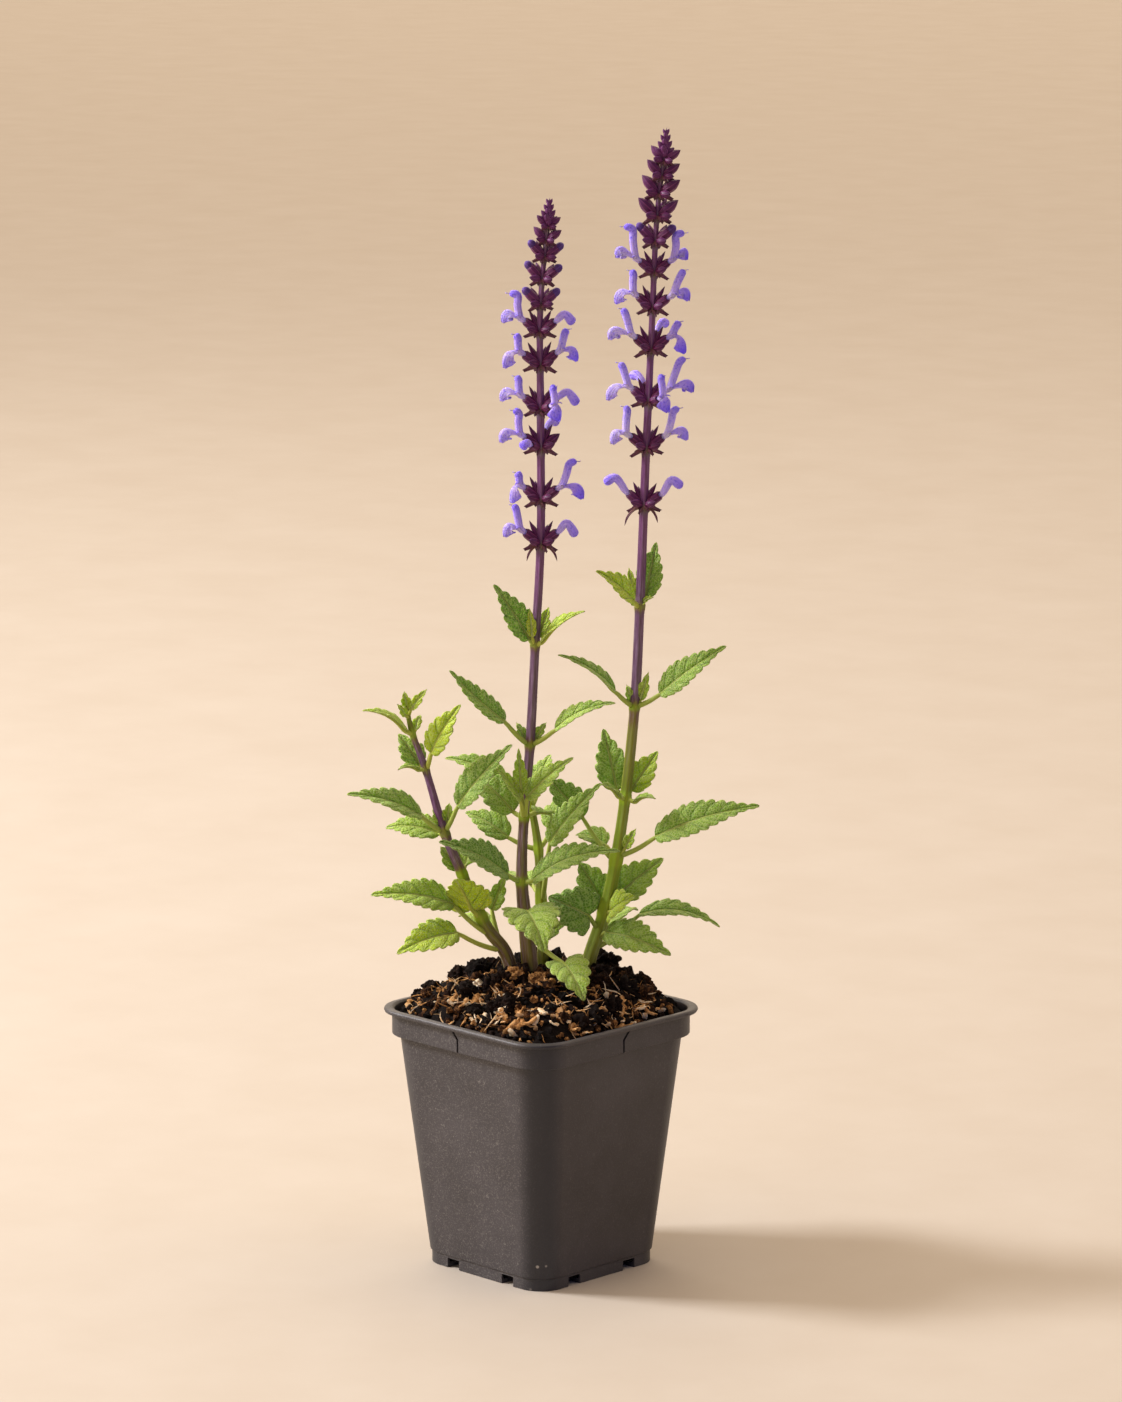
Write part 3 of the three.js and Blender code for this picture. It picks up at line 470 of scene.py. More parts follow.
@dataclass(frozen=True)
class Finish:
    """What all finishes share: a Principled shader with the values that are even all over."""

    name: str
    roughness: float = 0.6
    specular: float = 0.5
    ior: float = 1.45
    sheen: float = 0.0
    sheen_tint: str = "#ffffff"
    subsurface: float = 0.0
    scatter: tuple[float, float, float] = (1.0, 0.6, 0.4)  # depth of scattered light in mm, by colour
    bump: float = 0.5
    depth: float = 0.2  # of the relief, in mm

    def paint(self, add: Callable) -> Coat:
        """Adds the finish's own pattern.

        Args:
            add: adds a node to the material.

        Returns:
            The pattern's colours and relief.
        """
        raise NotImplementedError

    def material(self) -> bpy.types.Material:
        """Builds the material.

        Returns:
            The material.
        """
        material = bpy.data.materials.new(self.name)
        material.use_nodes = True
        material.node_tree.nodes.clear()
        add = partial(add_node, material.node_tree)
        coat = self.paint(add)
        colour = coat.first
        for share, over in coat.layers:
            colour = add("Mix", {0: share, 6: colour, 7: linear(over)}, 2)
        relief = add("Bump", {"Height": coat.height, "Strength": self.bump, "Distance": self.depth * MM})
        shader = {
            "Roughness": self.roughness, "Specular IOR Level": self.specular, "IOR": self.ior,
            "Sheen Weight": self.sheen, "Sheen Roughness": 0.4, "Sheen Tint": linear(self.sheen_tint),
            "Subsurface Weight": self.subsurface, "Subsurface Radius": self.scatter, "Subsurface Scale": MM,
            "Base Color": colour, "Normal": relief,
        }
        add("OutputMaterial", {"Surface": add("BsdfPrincipled", shader | coat.more)})
        return material


@dataclass(frozen=True)
class MouldedPolypropylene(Finish):
    """Injection-moulded polypropylene, matt charcoal: even and slightly waxy, finely scratched and dusty."""

    lit: str = "#423f43"
    deep: str = "#343134"
    corner_shade: str = "#202127"  # painted shade: a dark, faintly blue band down each corner, where the sides turn away from the light
    dust: str = "#98938d"
    lime: str = "#bdb5ab"  # dried drops at the corners' feet
    dusty: float = 0.46  # how far dust covers the grey
    band: float = 87  # foot of the stacking band, in mm
    bump: float = 0.3
    depth: float = 0.12

    def paint(self, add: Callable) -> Coat:
        """Clouded grey, curved scratches and specks, most on the two sides that face the key light as a painted
        highlight, painted shade down each corner, and a mould seam at each corner.

        Args:
            add: adds a node to the material.

        Returns:
            The pattern's colours and relief.
        """
        place = add("TexCoord", out="Object")
        cloud = add("TexNoise", {"Vector": place, "Scale": per_mm(28), "Detail": 5})
        # Scratches are thin lines of equal drift, broken up, with a fuzz of finer ones between them.
        drift = add("Math", (add("TexNoise", {"Vector": place, "Scale": per_mm(6), "Detail": 2}), 7.0),
                    operation="MULTIPLY")
        line = add("MapRange", (add("Math", (drift, 0.5), operation="PINGPONG"), 0, 0.05, 1, 0))
        broken = add("MapRange", (add("TexNoise", {"Vector": place, "Scale": per_mm(1.6), "Detail": 1}), 0.5, 0.6))
        fuzz = add("TexNoise", {"Vector": place, "Scale": per_mm(0.55), "Detail": 3, "Roughness": 0.7})
        fuzz = add("MapRange", (fuzz, 0.5, 0.7, 0, 0.75))
        scratch = add("Math", (add("Math", (line, broken), operation="MULTIPLY"), fuzz), operation="MAXIMUM")
        grit = add("MapRange", (add("TexVoronoi", {"Vector": place, "Scale": per_mm(2.3)}), 0.05, 0.16, 1, 0))
        speck = add("Math", (grit, add("MapRange", (cloud, 0.46, 0.62))), operation="MULTIPLY")
        # Scratches and dust lie thickest on the two sides towards -X and -Y, which face the key light: real wear, laid
        # on more strongly as a painted highlight where they catch that light.
        towards = add("VectorMath", (place, (-1.0, -1.0, 0.0)), "Value", operation="DOT_PRODUCT")
        wear_and_lit_sides = add("MapRange", (towards, -5 * MM, 20 * MM, 0.25, 1))
        film = add("Math", (add("Math", (scratch, speck), operation="MAXIMUM"), wear_and_lit_sides), operation="MULTIPLY")
        # The distance from a corner is the difference of the distances along X and Y.
        x, y, z = add("SeparateXYZ", (place,)).node.outputs
        x, y = (add("Math", (value,), operation="ABSOLUTE") for value in (x, y))
        corner = add("Math", (add("Math", (x, y), operation="SUBTRACT"),), operation="ABSOLUTE")
        near, low = (add("MapRange", (value, start * MM, end * MM, 1, 0))
                     for value, start, end in ((corner, 2, 7), (z, 6, 24)))
        drops = add("MapRange", (add("TexVoronoi", {"Vector": place, "Scale": per_mm(5)}), 0.07, 0.16, 0.8, 0))
        lime = add("Math", (drops, add("Math", (near, low), operation="MULTIPLY")), operation="MULTIPLY")
        above = add("MapRange", (z, (self.band - 0.5) * MM, (self.band + 0.5) * MM))
        seam = add("Math", (add("MapRange", (corner, 0, 0.35 * MM, 1, 0)), above), operation="MULTIPLY")
        relief = add("TexNoise", {"Vector": place, "Scale": per_mm(0.7), "Detail": 3})
        for height, share in ((seam, -5.0), (cloud, 2.5)):
            relief = add("Math", (height, share, relief), operation="MULTIPLY_ADD")
        return Coat(
            add("ValToRGB", (cloud,), stops=((0.3, self.deep), (0.72, self.lit))),
            [
                (add("Math", (film, self.dusty), operation="MULTIPLY"), self.dust),
                # Painted shade: a dark band down each corner, fading out between 4 and 13 mm from it.
                (add("MapRange", (corner, 4 * MM, 13 * MM, 0.7, 0)), self.corner_shade),
                (lime, self.lime),
            ],
            relief,
            {"Roughness": add("MapRange", (film, 0, 1, self.roughness, self.roughness + 0.25))},
        )


@dataclass(frozen=True)
class PottingMix(Finish):
    """Peat and composted bark: each crumb its own brown, dull and fibrous."""

    stops: tuple = (
        (0.0, "#060302"), (0.3, "#150a06"), (0.47, "#2e1a0f"), (0.58, "#624022"), (0.7, "#bc8850"), (0.86, "#deb27c"),
        (1.0, "#f0e2c6"),
    )
    bump: float = 1.0
    depth: float = 0.9

    def paint(self, add: Callable) -> Coat:
        """Browns by each crumb's tone, mottled by its fibres.

        Args:
            add: adds a node to the material.

        Returns:
            The pattern's colours and relief.
        """
        place, tone = add("TexCoord", out="Object"), add("Attribute", out="Fac", attribute_name="tone")
        fibre = add("TexNoise", {"Vector": place, "Scale": per_mm(1.3), "Detail": 6, "Roughness": 0.72})
        value = add("Math", (add("Math", (fibre, 0.95, tone), operation="MULTIPLY_ADD"), 0.44), operation="SUBTRACT")
        return Coat(add("ValToRGB", (value,), stops=self.stops), [], fibre)


@dataclass(frozen=True)
class StemSkin(Finish):
    """Square mint stem: ribbed, finely downy, from olive green at the foot to dark purple above."""

    stops: tuple = (
        (0.0, "#88a010"), (0.25, "#768e0c"), (0.5, "#645222"), (0.72, "#54343e"), (0.86, "#5c3e5a"), (1.0, "#662b64"),
    )
    # Pale down along the stem: partly its own colour, partly a painted sheen of light on it.
    down_and_sheen: str = "#a08aa6"
    ridge: str = "#94962e"
    depth: float = 0.15

    def paint(self, add: Callable) -> Coat:
        """The tone's colour with pale fibres drawn along the stem, partly their own colour and partly a painted sheen,
        and lighter ridges.

        Args:
            add: adds a node to the material.

        Returns:
            The pattern's colours and relief.
        """
        tone, edge = (add("Attribute", out="Fac", attribute_name=name) for name in ("tone", "edge"))
        drawn = add("Mapping", {"Vector": add("TexCoord", out="UV"), "Scale": (22, 26, 1)})
        fibre = add("TexNoise", {"Vector": drawn, "Scale": 1.0})
        lines = add("MapRange", (fibre, 0.42, 0.74, 0, 0.55))
        for ends in ((0.2, 0.7, 0.06, 1), (0.88, 1.0, 1, 0.6)):
            lines = add("Math", (lines, add("MapRange", (tone, *ends))), operation="MULTIPLY")
        ridges = add("Math", (edge, add("MapRange", (tone, 0.5, 0.95, 0.6, 0.1))), operation="MULTIPLY")
        return Coat(add("ValToRGB", (tone,), stops=self.stops), [(lines, self.down_and_sheen), (ridges, self.ridge)], fibre)


@dataclass(frozen=True)
class LeafBlade(Finish):
    """Wrinkled sage leaf: sunken side veins darkened with painted shade (pale veins on the underside), a fine pale net
    between them, matt and a little see-through.
    """

    stops: tuple = (
        (0.0, "#4c7026"), (0.22, "#638a30"), (0.4, "#83a438"), (0.6, "#9cb828"), (0.8, "#abc010"), (1.0, "#c2d010"),
    )
    net: str = "#c2d084"
    net_share: float = 0.44
    # On the face, painted shade in the sunken side veins; the underside gives its veins' own pale colour here.
    vein: str = "#50722f"
    vein_and_groove_shade_share: float = 0.3
    midrib_share: float = 0.8
    margin: str = "#c0cc84"
    margin_share: float = 0.5
    relief: float = 1.0
    greyed: float = 0.0  # how far the colour goes towards the net's
    bump: float = 0.9
    depth: float = 0.45

    def paint(self, add: Callable) -> Coat:
        """The tone's green with its net, side veins, midrib and margin.

        Args:
            add: adds a node to the material.

        Returns:
            The pattern's colours and relief.
        """
        place = add("TexCoord", out="Object")
        tone, turn, off_rib, edge = (
            add("Attribute", out="Fac", attribute_name=name) for name in ("tone", "vein", "rib", "edge")
        )
        cloud = add("TexNoise", {"Vector": place, "Scale": per_mm(5), "Detail": 3})
        cloud = add("Math", (add("Math", (cloud, 0.3, tone), operation="MULTIPLY_ADD"), 0.15), operation="SUBTRACT")
        # The net's cells are bent by a finer pattern.
        warp = add("TexNoise", {"Vector": place, "Scale": per_mm(1.6), "Detail": 2.0, "Roughness": 0.5}, "Color")
        bent = add("VectorMath", (warp, (0.8 * MM,) * 3, place), operation="MULTIPLY_ADD")
        cells = add("TexVoronoi", {"Vector": bent, "Scale": per_mm(1.1)}, "Distance", feature="DISTANCE_TO_EDGE")
        net = add("MapRange", (cells, 0, 0.24, 1, 0))
        side_vein = add("MapRange", (add("Math", (turn, 0.5), operation="PINGPONG"), 0.02, 0.13, 1, 0))
        midrib = add("MapRange", (off_rib, 0.45, 1.1, 1, 0))
        pale = add("Math", (net, self.net_share, self.greyed), operation="MULTIPLY_ADD")
        pale_rib = add("Math", (midrib, self.midrib_share), operation="MULTIPLY")
        beside = add("Math", (side_vein, add("Math", (1.0, midrib), operation="SUBTRACT")), operation="MULTIPLY")
        sunk = add("Math", (add("Math", (side_vein, 0.6), operation="MULTIPLY"), midrib), operation="MAXIMUM")
        sunk = add("Math", (net, 0.6, sunk), operation="MULTIPLY_ADD")
        return Coat(
            add("ValToRGB", (cloud,), stops=self.stops),
            [
                (add("Math", (pale, pale_rib), operation="MAXIMUM"), self.net),
                # Painted shade in the side veins' grooves on the face; the veins' own pale colour on the underside.
                (add("Math", (beside, self.vein_and_groove_shade_share), operation="MULTIPLY"), self.vein),
                (add("MapRange", (edge, 0.93, 1.0, 0, self.margin_share)), self.margin),
            ],
            add("Math", (sunk, -self.relief), operation="MULTIPLY"),
        )


@dataclass(frozen=True)
class RibbedSkin(Finish):
    """Skin drawn along its length, as on calyces and petals: its colours run from foot to tip, with fine ribs."""

    stops: tuple = ()
    rib_colour: str = "#85527c"
    ribs: float = 8
    rib_share: float = 0.5
    light: str = "#7d4c84"  # towards which a copy's tone takes the colour
    light_share: float = 0.6
    fleck: str = ""  # colour of small flecks, where it has them
    fleck_share: float = 0.55
    bump: float = 0.6
    depth: float = 0.25

    def paint(self, add: Callable) -> Coat:
        """Colours from foot to tip, ribs along them, and a copy's lightness by its tone, which on the left-seat lips
        holds painted light.

        Args:
            add: adds a node to the material.

        Returns:
            The pattern's colours and relief.
        """
        place, tone = add("TexCoord", out="Object"), add("Attribute", out="Fac", attribute_name="tone")
        around, along, _ = add("SeparateXYZ", (add("TexCoord", out="UV"),)).node.outputs
        cloud = add("TexNoise", {"Vector": place, "Scale": per_mm(1.6)})
        value = add("Math", (add("Math", (cloud, 0.3, along), operation="MULTIPLY_ADD"), 0.15), operation="SUBTRACT")
        turn = add("Math", (add("Math", (around, self.ribs), operation="MULTIPLY"), 0.5), operation="PINGPONG")
        rib = add("MapRange", (turn, 0, 0.22, 1, 0))
        layers = [(add("Math", (rib, self.rib_share), operation="MULTIPLY"), self.rib_colour),
                  (add("Math", (tone, self.light_share), operation="MULTIPLY"), self.light)]
        if self.fleck:
            spots = add("TexNoise", {"Vector": place, "Scale": per_mm(0.8), "Detail": 2})
            spots = add("MapRange", (spots, 0.54, 0.66, 0, self.fleck_share))
            spots = add("Math", (spots, add("MapRange", (along, 0.35, 0.6))), operation="MULTIPLY")
            layers.append((spots, self.fleck))
        relief = add("Math", (cloud, 0.8, rib), operation="MULTIPLY_ADD")
        return Coat(add("ValToRGB", (value,), stops=self.stops), layers, relief)


@dataclass(frozen=True)
class Plaster(Finish):
    """Smooth pale plaster for the floor: one warm tone with a faint mottle."""

    colour: str = "#bbb2a6"
    shade: str = "#b7ada0"
    bump: float = 0.06
    depth: float = 1.5

    def paint(self, add: Callable) -> Coat:
        """A faint mottle.

        Args:
            add: adds a node to the material.

        Returns:
            The pattern's colours and relief.
        """
        cloud = add("TexNoise", {"Vector": add("TexCoord", out="Object"), "Scale": per_mm(60), "Detail": 6})
        return Coat(add("ValToRGB", (cloud,), stops=((0.3, self.shade), (0.7, self.colour))), [], cloud)


PLASTIC = MouldedPolypropylene("charcoal_polypropylene", roughness=0.44, specular=0.45, ior=1.49)
SOIL = PottingMix("peat_and_bark", roughness=0.95, specular=0.2)
STEM = StemSkin("square_stem", roughness=0.5, specular=0.4, sheen=0.14, sheen_tint="#cfc0d8")
STALK = StemSkin(
    "leaf_stalk", roughness=0.55, specular=0.35, sheen=0.15, down_and_sheen="#b7bd72",
    stops=((0.0, "#6f8f3a"), (0.4, "#8da443"), (0.8, "#a7b442"), (1.0, "#b2ba46")),
)
BLADE = LeafBlade(
    "sage_leaf_face", roughness=0.6, specular=0.3, sheen=0.14, sheen_tint="#e6ead8", subsurface=0.3,
    scatter=(0.8, 1.1, 0.25),
)
# The underside's own paler grey-green; its top tones are brightened further as painted light, for the glow of a leaf
# lit from behind.
UNDERSIDE = LeafBlade(
    "sage_leaf_underside", roughness=0.75, specular=0.25, sheen=0.3, sheen_tint="#e9ecdc", subsurface=0.5,
    scatter=(0.9, 1.2, 0.3), relief=-1.0, greyed=0.25, vein="#d3da9a",
    stops=((0.0, "#5a7c44"), (0.4, "#86a45a"), (0.6, "#a2bc50"), (0.8, "#c4d84a"), (1.0, "#dcea56")),
)
CALYX = RibbedSkin(
    "calyx_skin", roughness=0.5, specular=0.35, sheen=0.12, sheen_tint="#d89ac8", rib_colour="#9a4078", rib_share=0.5,
    stops=((0.0, "#7a6234"), (0.12, "#5e3038"), (0.3, "#561240"), (0.7, "#440a40"), (1.0, "#2c0632")),
    light="#864c90",
)
BRACT = RibbedSkin(
    "bract_skin", roughness=0.6, specular=0.3, sheen=0.25, sheen_tint="#d6bfba", ribs=3, rib_share=0.2,
    stops=((0.0, "#9c8848"), (0.25, "#7a5440"), (0.7, "#5c3040"), (1.0, "#452034")), rib_colour="#8e6270",
)
BUD = RibbedSkin(
    "violet_bud", roughness=0.5, specular=0.35, sheen=0.3, sheen_tint="#b7a6e6", ribs=6, rib_share=0.3,
    stops=((0.0, "#3a1440"), (0.6, "#40195a"), (0.8, "#4a2a84"), (1.0, "#5c46ae")), rib_colour="#6a4a9c",
    light="#7a5cc0",
)
PETAL = RibbedSkin(
    "corolla_petal", roughness=0.5, specular=0.3, sheen=0.5, sheen_tint="#a89cff", subsurface=0.5,
    scatter=(0.8, 0.6, 1.6), ribs=9, rib_share=0.12, rib_colour="#705aec", light="#ece4ff", light_share=0.85,
    stops=((0.0, "#d4c2ff"), (0.2, "#ccb9ff"), (0.45, "#c2aeff"), (0.75, "#a28cff"), (1.0, "#755cff")),
    fleck="#6650e4",
)
FLOOR = Plaster("pale_plaster", roughness=0.9, specular=0.2)


# --- Pot ---


@dataclass
class Pot:
    """The moulded pot: rolled lip, stacking band, tapered walls, foot ledge, drain notches and slits."""

    height: float = 97
    rim_side: float = 90
    lip_foot: float = 95
    band_side: float = 85.4
    band_foot: float = 87
    shoulder_side: float = 80.7
    base_side: float = 64
    base_corner: float = 10
    corner_steps: int = 9
    foot_height: float = 4.5
    foot_inset: float = 0.5
    wall: float = 1
    floor: float = 1.6
    notch_offset: float = 14.2
    notch: tuple[float, float, float] = (6, 5.5, 3.7)  # width, depth from the side, height
    slit: tuple[float, float] = (0.9, 0.8)  # width and depth
    slit_knee: float = 91.6  # above it the slit slants
    slit_slant: float = 42
    rounding: float = 0.28  # of the moulded edges
    sharp: float = 32  # edges that turn by more degrees are rounded

    def shell(self) -> bpy.types.Object:
        """Extrudes the pot from its base, up its outside and down its inside.

        Returns:
            The pot without its openings.
        """
        side, level = self.base_side - 2 * self.foot_inset, 0.0
        made = started(bpy.ops.mesh.primitive_plane_add, size=side)
        bpy.ops.object.mode_set(mode="EDIT")
        bpy.ops.mesh.select_all(action="SELECT")
        bpy.ops.mesh.bevel(offset=self.base_corner, segments=self.corner_steps, affect="VERTICES")
        bpy.ops.mesh.select_all(action="SELECT")
        inner_band = self.band_side - 2 * self.wall
        for wider, z in (
            (side, self.foot_height),
            (self.base_side, self.foot_height + 0.3),
            (self.shoulder_side, self.band_foot - 0.6),
            (self.band_side, self.band_foot),
            (self.band_side, self.lip_foot),
            (self.rim_side - 0.6, self.lip_foot + 0.2),
            (self.rim_side, self.lip_foot + 0.8),
            (self.rim_side, self.lip_foot + 1.3),
            (self.rim_side - 0.6, self.height - 0.25),
            (self.rim_side - 1.8, self.height),
            (self.rim_side - 4.4, self.height),
            (inner_band + 0.6, self.height - 0.7),
            (inner_band, self.lip_foot - 0.8),
            (inner_band, self.band_foot + self.wall),
            (self.shoulder_side - 2 * self.wall, self.band_foot - self.wall),
            (self.base_side - 2 * self.wall, self.foot_height),
            (self.base_side - 2 * self.foot_inset - 2 * self.wall, self.floor),
        ):
            bpy.ops.mesh.extrude_region_move(TRANSFORM_OT_translate={"value": (0, 0, z - level)})
            factor = wider / side
            bpy.ops.transform.resize(value=(factor, factor, 1), center_override=(0, 0, z))
            side, level = wider, z
        bpy.ops.mesh.select_all(action="SELECT")
        bpy.ops.mesh.normals_make_consistent(inside=False)
        bpy.ops.object.mode_set(mode="OBJECT")
        return made

    def cutters(self) -> bpy.types.Object:
        """Places the blocks that cut the drain notches and the slits of the band.

        Returns:
            The blocks as one object.
        """
        width, depth, height = self.notch
        thick, deep = self.slit[0], 2 * self.slit[1]
        foot, top = self.band_foot - 0.4, self.lip_foot + 0.4
        slant = math.radians(self.slit_slant)
        tall, sloped = self.slit_knee - foot, (top - self.slit_knee) / math.cos(slant)
        middle = self.base_side / 2 - depth / 2 + 0.5
        blocks = []
        for quarter in range(4):
            turn, hand = Matrix.Rotation(quarter * math.pi / 2, 3, "Z"), (-1) ** quarter
            aside = hand * (math.sin(slant) * sloped - thick * math.cos(slant)) / 2
            half = self.band_side / 2
            for place, size, tilt in (
                ((-self.notch_offset, middle, height / 2 - 0.5), (width, depth + 1, height + 1), 0),
                ((self.notch_offset, middle, height / 2 - 0.5), (width, depth + 1, height + 1), 0),
                ((0, half, foot + tall / 2), (thick, deep, tall), 0),
                ((aside, half, (self.slit_knee + top) / 2 - 0.2), (thick, 1.02 * deep, sloped), hand * slant),
            ):
                block = started(bpy.ops.mesh.primitive_cube_add, size=1, location=turn @ Vector(place), scale=size)
                block.rotation_euler = (0, tilt, quarter * math.pi / 2)
                bpy.ops.object.transform_apply(location=True, rotation=True, scale=True)
                blocks.append(block)
        return join(blocks)

    def build(self) -> None:
        """Builds, dresses and hands over the pot."""
        shell = modify(
            self.shell(), "BEVEL", width=self.rounding, segments=2, limit_method="ANGLE",
            angle_limit=math.radians(self.sharp),
        )
        cutters = self.cutters()
        modify(shell, "BOOLEAN", object=cutters, operation="DIFFERENCE", solver="EXACT", use_self=True)
        bpy.data.objects.remove(cutters)
        dress(shell, PLASTIC.material())
        hand_over(shell, "pot_shell", ["pot"], turned=False, smooth=35)
        modify(shell, "WEIGHTED_NORMAL", weight=100, keep_sharp=True)


# --- Soil ---


@dataclass(frozen=True)
class Litter:
    """Loose bits of one kind: how many, their sizes, tones and reach from the middle, and how far they stand out."""

    kind: str
    count: int
    sizes: tuple[float, float]
    tones: tuple[float, ...]
    reach: tuple[float, ...]  # a share of the ground, or on the front side the lowest and highest share
    lift: float


@dataclass
class Soil:
    """The domed top of the root ball and its loose crumbs, bark, fibres and grit."""

    half: float = 41.1  # half its side at the rim
    corner: float = 12.6
    rim: float = 94.4
    crown: float = 16
    root_foot: float = 2.4
    root_ball: tuple = ((0.72, 2.4), (0.73, 5.2), (0.935, 86.6))  # share of the ground's width by height
    swells: tuple = ((2.4, 9.0), (1.5, 4.2), (0.7, 1.9))  # heights and widths of the ground's humps
    steps: int = 192
    rings: int = 56
    crumbs: int = 1500
    clods: int = 90
    grains: int = 20
    front_fibres: int = 90
    seed: int = 5
    litter: tuple[Litter, ...] = (
        Litter("bark", 80, (0.6, 1.5), (0.4, 0.5, 0.6, 0.74), (0.93,), 0.7),
        Litter("bark", 85, (0.6, 1.6), (0.62, 0.72, 0.82, 0.92), (0.72, 0.96), 0.9),
        Litter("fibre", 260, (0.6, 1.4), (0.35, 0.5, 0.65, 0.8), (0.92,), 1.0),
    )
    # Lumps of their own, in the plant's axes: x, y, size, tone and how far they stand out.
    lumps: tuple = (
        (-9, -8, 3.4, 0.66, 0.5), (-1, -13, 3.2, 0.6, 0.3), (-23, -9, 1.9, 0.95, 0.7), (30, 10, 4.6, 0.3, 0.7),
        (37, 4, 3.6, 0.42, 0.6), (24, 16, 4.4, 0.25, 0.9), (-30, 9, 4.0, 0.3, 0.4), (-20, 14, 4.2, 0.35, 0.5),
        (12, -14, 3.6, 0.3, 0.3), (22, -6, 3.8, 0.36, 0.3),
    )

    def __post_init__(self) -> None:
        """Starts the one run of random numbers that all the crumbs share."""
        self.dice = random.Random(self.seed)

    def reach(self, angle: float) -> float:
        """Radius of the ground, a square with round corners.

        Args:
            angle: the direction from its middle.

        Returns:
            The radius there.
        """
        core = self.half - self.corner
        c, s = abs(math.cos(angle)), abs(math.sin(angle))
        straight = self.half / max(c, s)
        if straight * min(c, s) <= core:
            return straight
        return core * (c + s) + math.sqrt(core**2 * (c + s) ** 2 - 2 * core**2 + self.corner**2)

    def level(self, x: float, y: float) -> float:
        """Height of the ground.

        Args:
            x: the place along X.
            y: the place along Y.

        Returns:
            The height there.
        """
        share = min(1.0, math.hypot(x, y) / self.reach(math.atan2(y, x)))
        rough = min(1.0, 6 * (1 - share))
        humps = sum(height * noise.noise(Vector((x / size, y / size, size))) for height, size in self.swells)
        return self.rim - 1.2 + self.crown * (1 - share**2.8) + rough * humps

    def ground(self) -> bpy.types.Object:
        """The domed ground and its sides inside the pot, closed underneath.

        Returns:
            The ground.
        """
        around = np.linspace(0, FULL_TURN, self.steps + 1)
        rows = [[(0, 0, self.root_foot)] * len(around)]
        for share, z in self.root_ball:
            rows.append([(self.reach(a) * share * math.cos(a), self.reach(a) * share * math.sin(a), z) for a in around])
        for share in (*np.linspace(1, 0.03, self.rings), 0.0):
            ring = [(self.reach(a) * share * math.cos(a), self.reach(a) * share * math.sin(a)) for a in around]
            rows.append([(x, y, self.level(x, y)) for x, y in ring])
        return mark(weld(sheet(np.array(rows, float))), tone=0.12)

    def lump(self, detail: int, number: int) -> bpy.types.Object:
        """A rough ball.

        Args:
            detail: how finely the ball is divided.
            number: which of the rough balls it is.

        Returns:
            The ball.
        """
        ball = started(bpy.ops.mesh.primitive_ico_sphere_add, subdivisions=detail, radius=1)
        for vertex in ball.data.vertices:
            way = vertex.co.normalized()
            rough = sum(size * noise.noise(way * pitch + Vector((0, 0, 7.3 * number + pitch)))
                        for size, pitch in ((0.55, 1.4), (0.38, 3.6), (0.2, 8.0)))
            vertex.co = way * (0.95 + rough)
        return ball

    def chip(self) -> bpy.types.Object:
        """A flat, bowed, uneven chip of bark.

        Returns:
            The chip.
        """
        chip = started(bpy.ops.mesh.primitive_cube_add, size=2)
        bpy.ops.object.mode_set(mode="EDIT")
        bpy.ops.mesh.subdivide(number_cuts=1, smoothness=0.6)
        bpy.ops.object.mode_set(mode="OBJECT")
        for vertex in chip.data.vertices:
            x, y, z = vertex.co
            bow = 0.35 * (x * x - 0.5)
            vertex.co = (x * self.dice.uniform(1.3, 1.9), y * self.dice.uniform(0.5, 0.85), 0.28 * z + bow)
        return chip

    def fibre(self) -> bpy.types.Object:
        """A short bent fibre with pointed ends.

        Returns:
            The fibre.
        """
        bends = [(x, self.dice.uniform(-0.7, 0.7), self.dice.uniform(-0.25, 0.5)) for x in (-3, -1.2, 1, 3)]
        points, tangents = resample(smooth_path(np.array(bends), 6), np.linspace(0, 1, 6))
        return weld(sheet(tube_rings(points, tangents, np.array([0.03, 0.16, 0.2, 0.18, 0.13, 0.03]), 4)))

    def patterns(self) -> dict[str, list[Pattern]]:
        """Models the shapes that are scattered, each about 1 mm from middle to skin.

        Returns:
            The shapes by kind.
        """
        return {
            "crumb": [Pattern.of(modify(self.lump(2, number), "DECIMATE", ratio=0.6)) for number in range(4)],
            "clod": [Pattern.of(self.lump(4, number)) for number in range(4)],
            "bark": [Pattern.of(self.chip()) for _ in range(3)],
            "fibre": [Pattern.of(self.fibre()) for _ in range(3)],
        }

    def spot(self, *shares: float) -> tuple[float, float]:
        """A place at random on the ground, in millimetres along X and Y.

        Args:
            shares: one share of the ground to lie in, or the lowest and highest share towards its front rim.

        Returns:
            The place.
        """
        if len(shares) == 1:
            angle = self.dice.uniform(0, FULL_TURN)
            radius = self.reach(angle) * shares[0] * math.sqrt(self.dice.random())
        else:
            angle = math.radians(self.dice.uniform(-130, 40))
            radius = self.reach(angle) * self.dice.uniform(*shares)
        return radius * math.cos(angle), radius * math.sin(angle)

    def scatter(
        self, bed: Cluster, pattern: Pattern, size: float, tone: float, at: tuple[float, float], lift: float
    ) -> None:
        """Lays one crumb on the ground, turned and tipped at random.

        Args:
            bed: where it is gathered.
            pattern: its shape.
            size: its size in millimetres.
            tone: its place among the soil's colours.
            at: where on the ground.
            lift: how far it stands out, as a share of its size.
        """
        x, y = at
        turn = Matrix.Rotation(self.dice.uniform(0, FULL_TURN), 3, "Z")
        lean = Matrix.Rotation(self.dice.uniform(-1.2, 1.2), 3, Vector((self.dice.uniform(-1, 1), 1, 0)).normalized())
        axes = np.array((turn @ lean @ Matrix.Diagonal((size, size, size)))).T
        bed.add(pattern, np.array([x, y, self.level(x, y) + lift * size]), axes, tone)

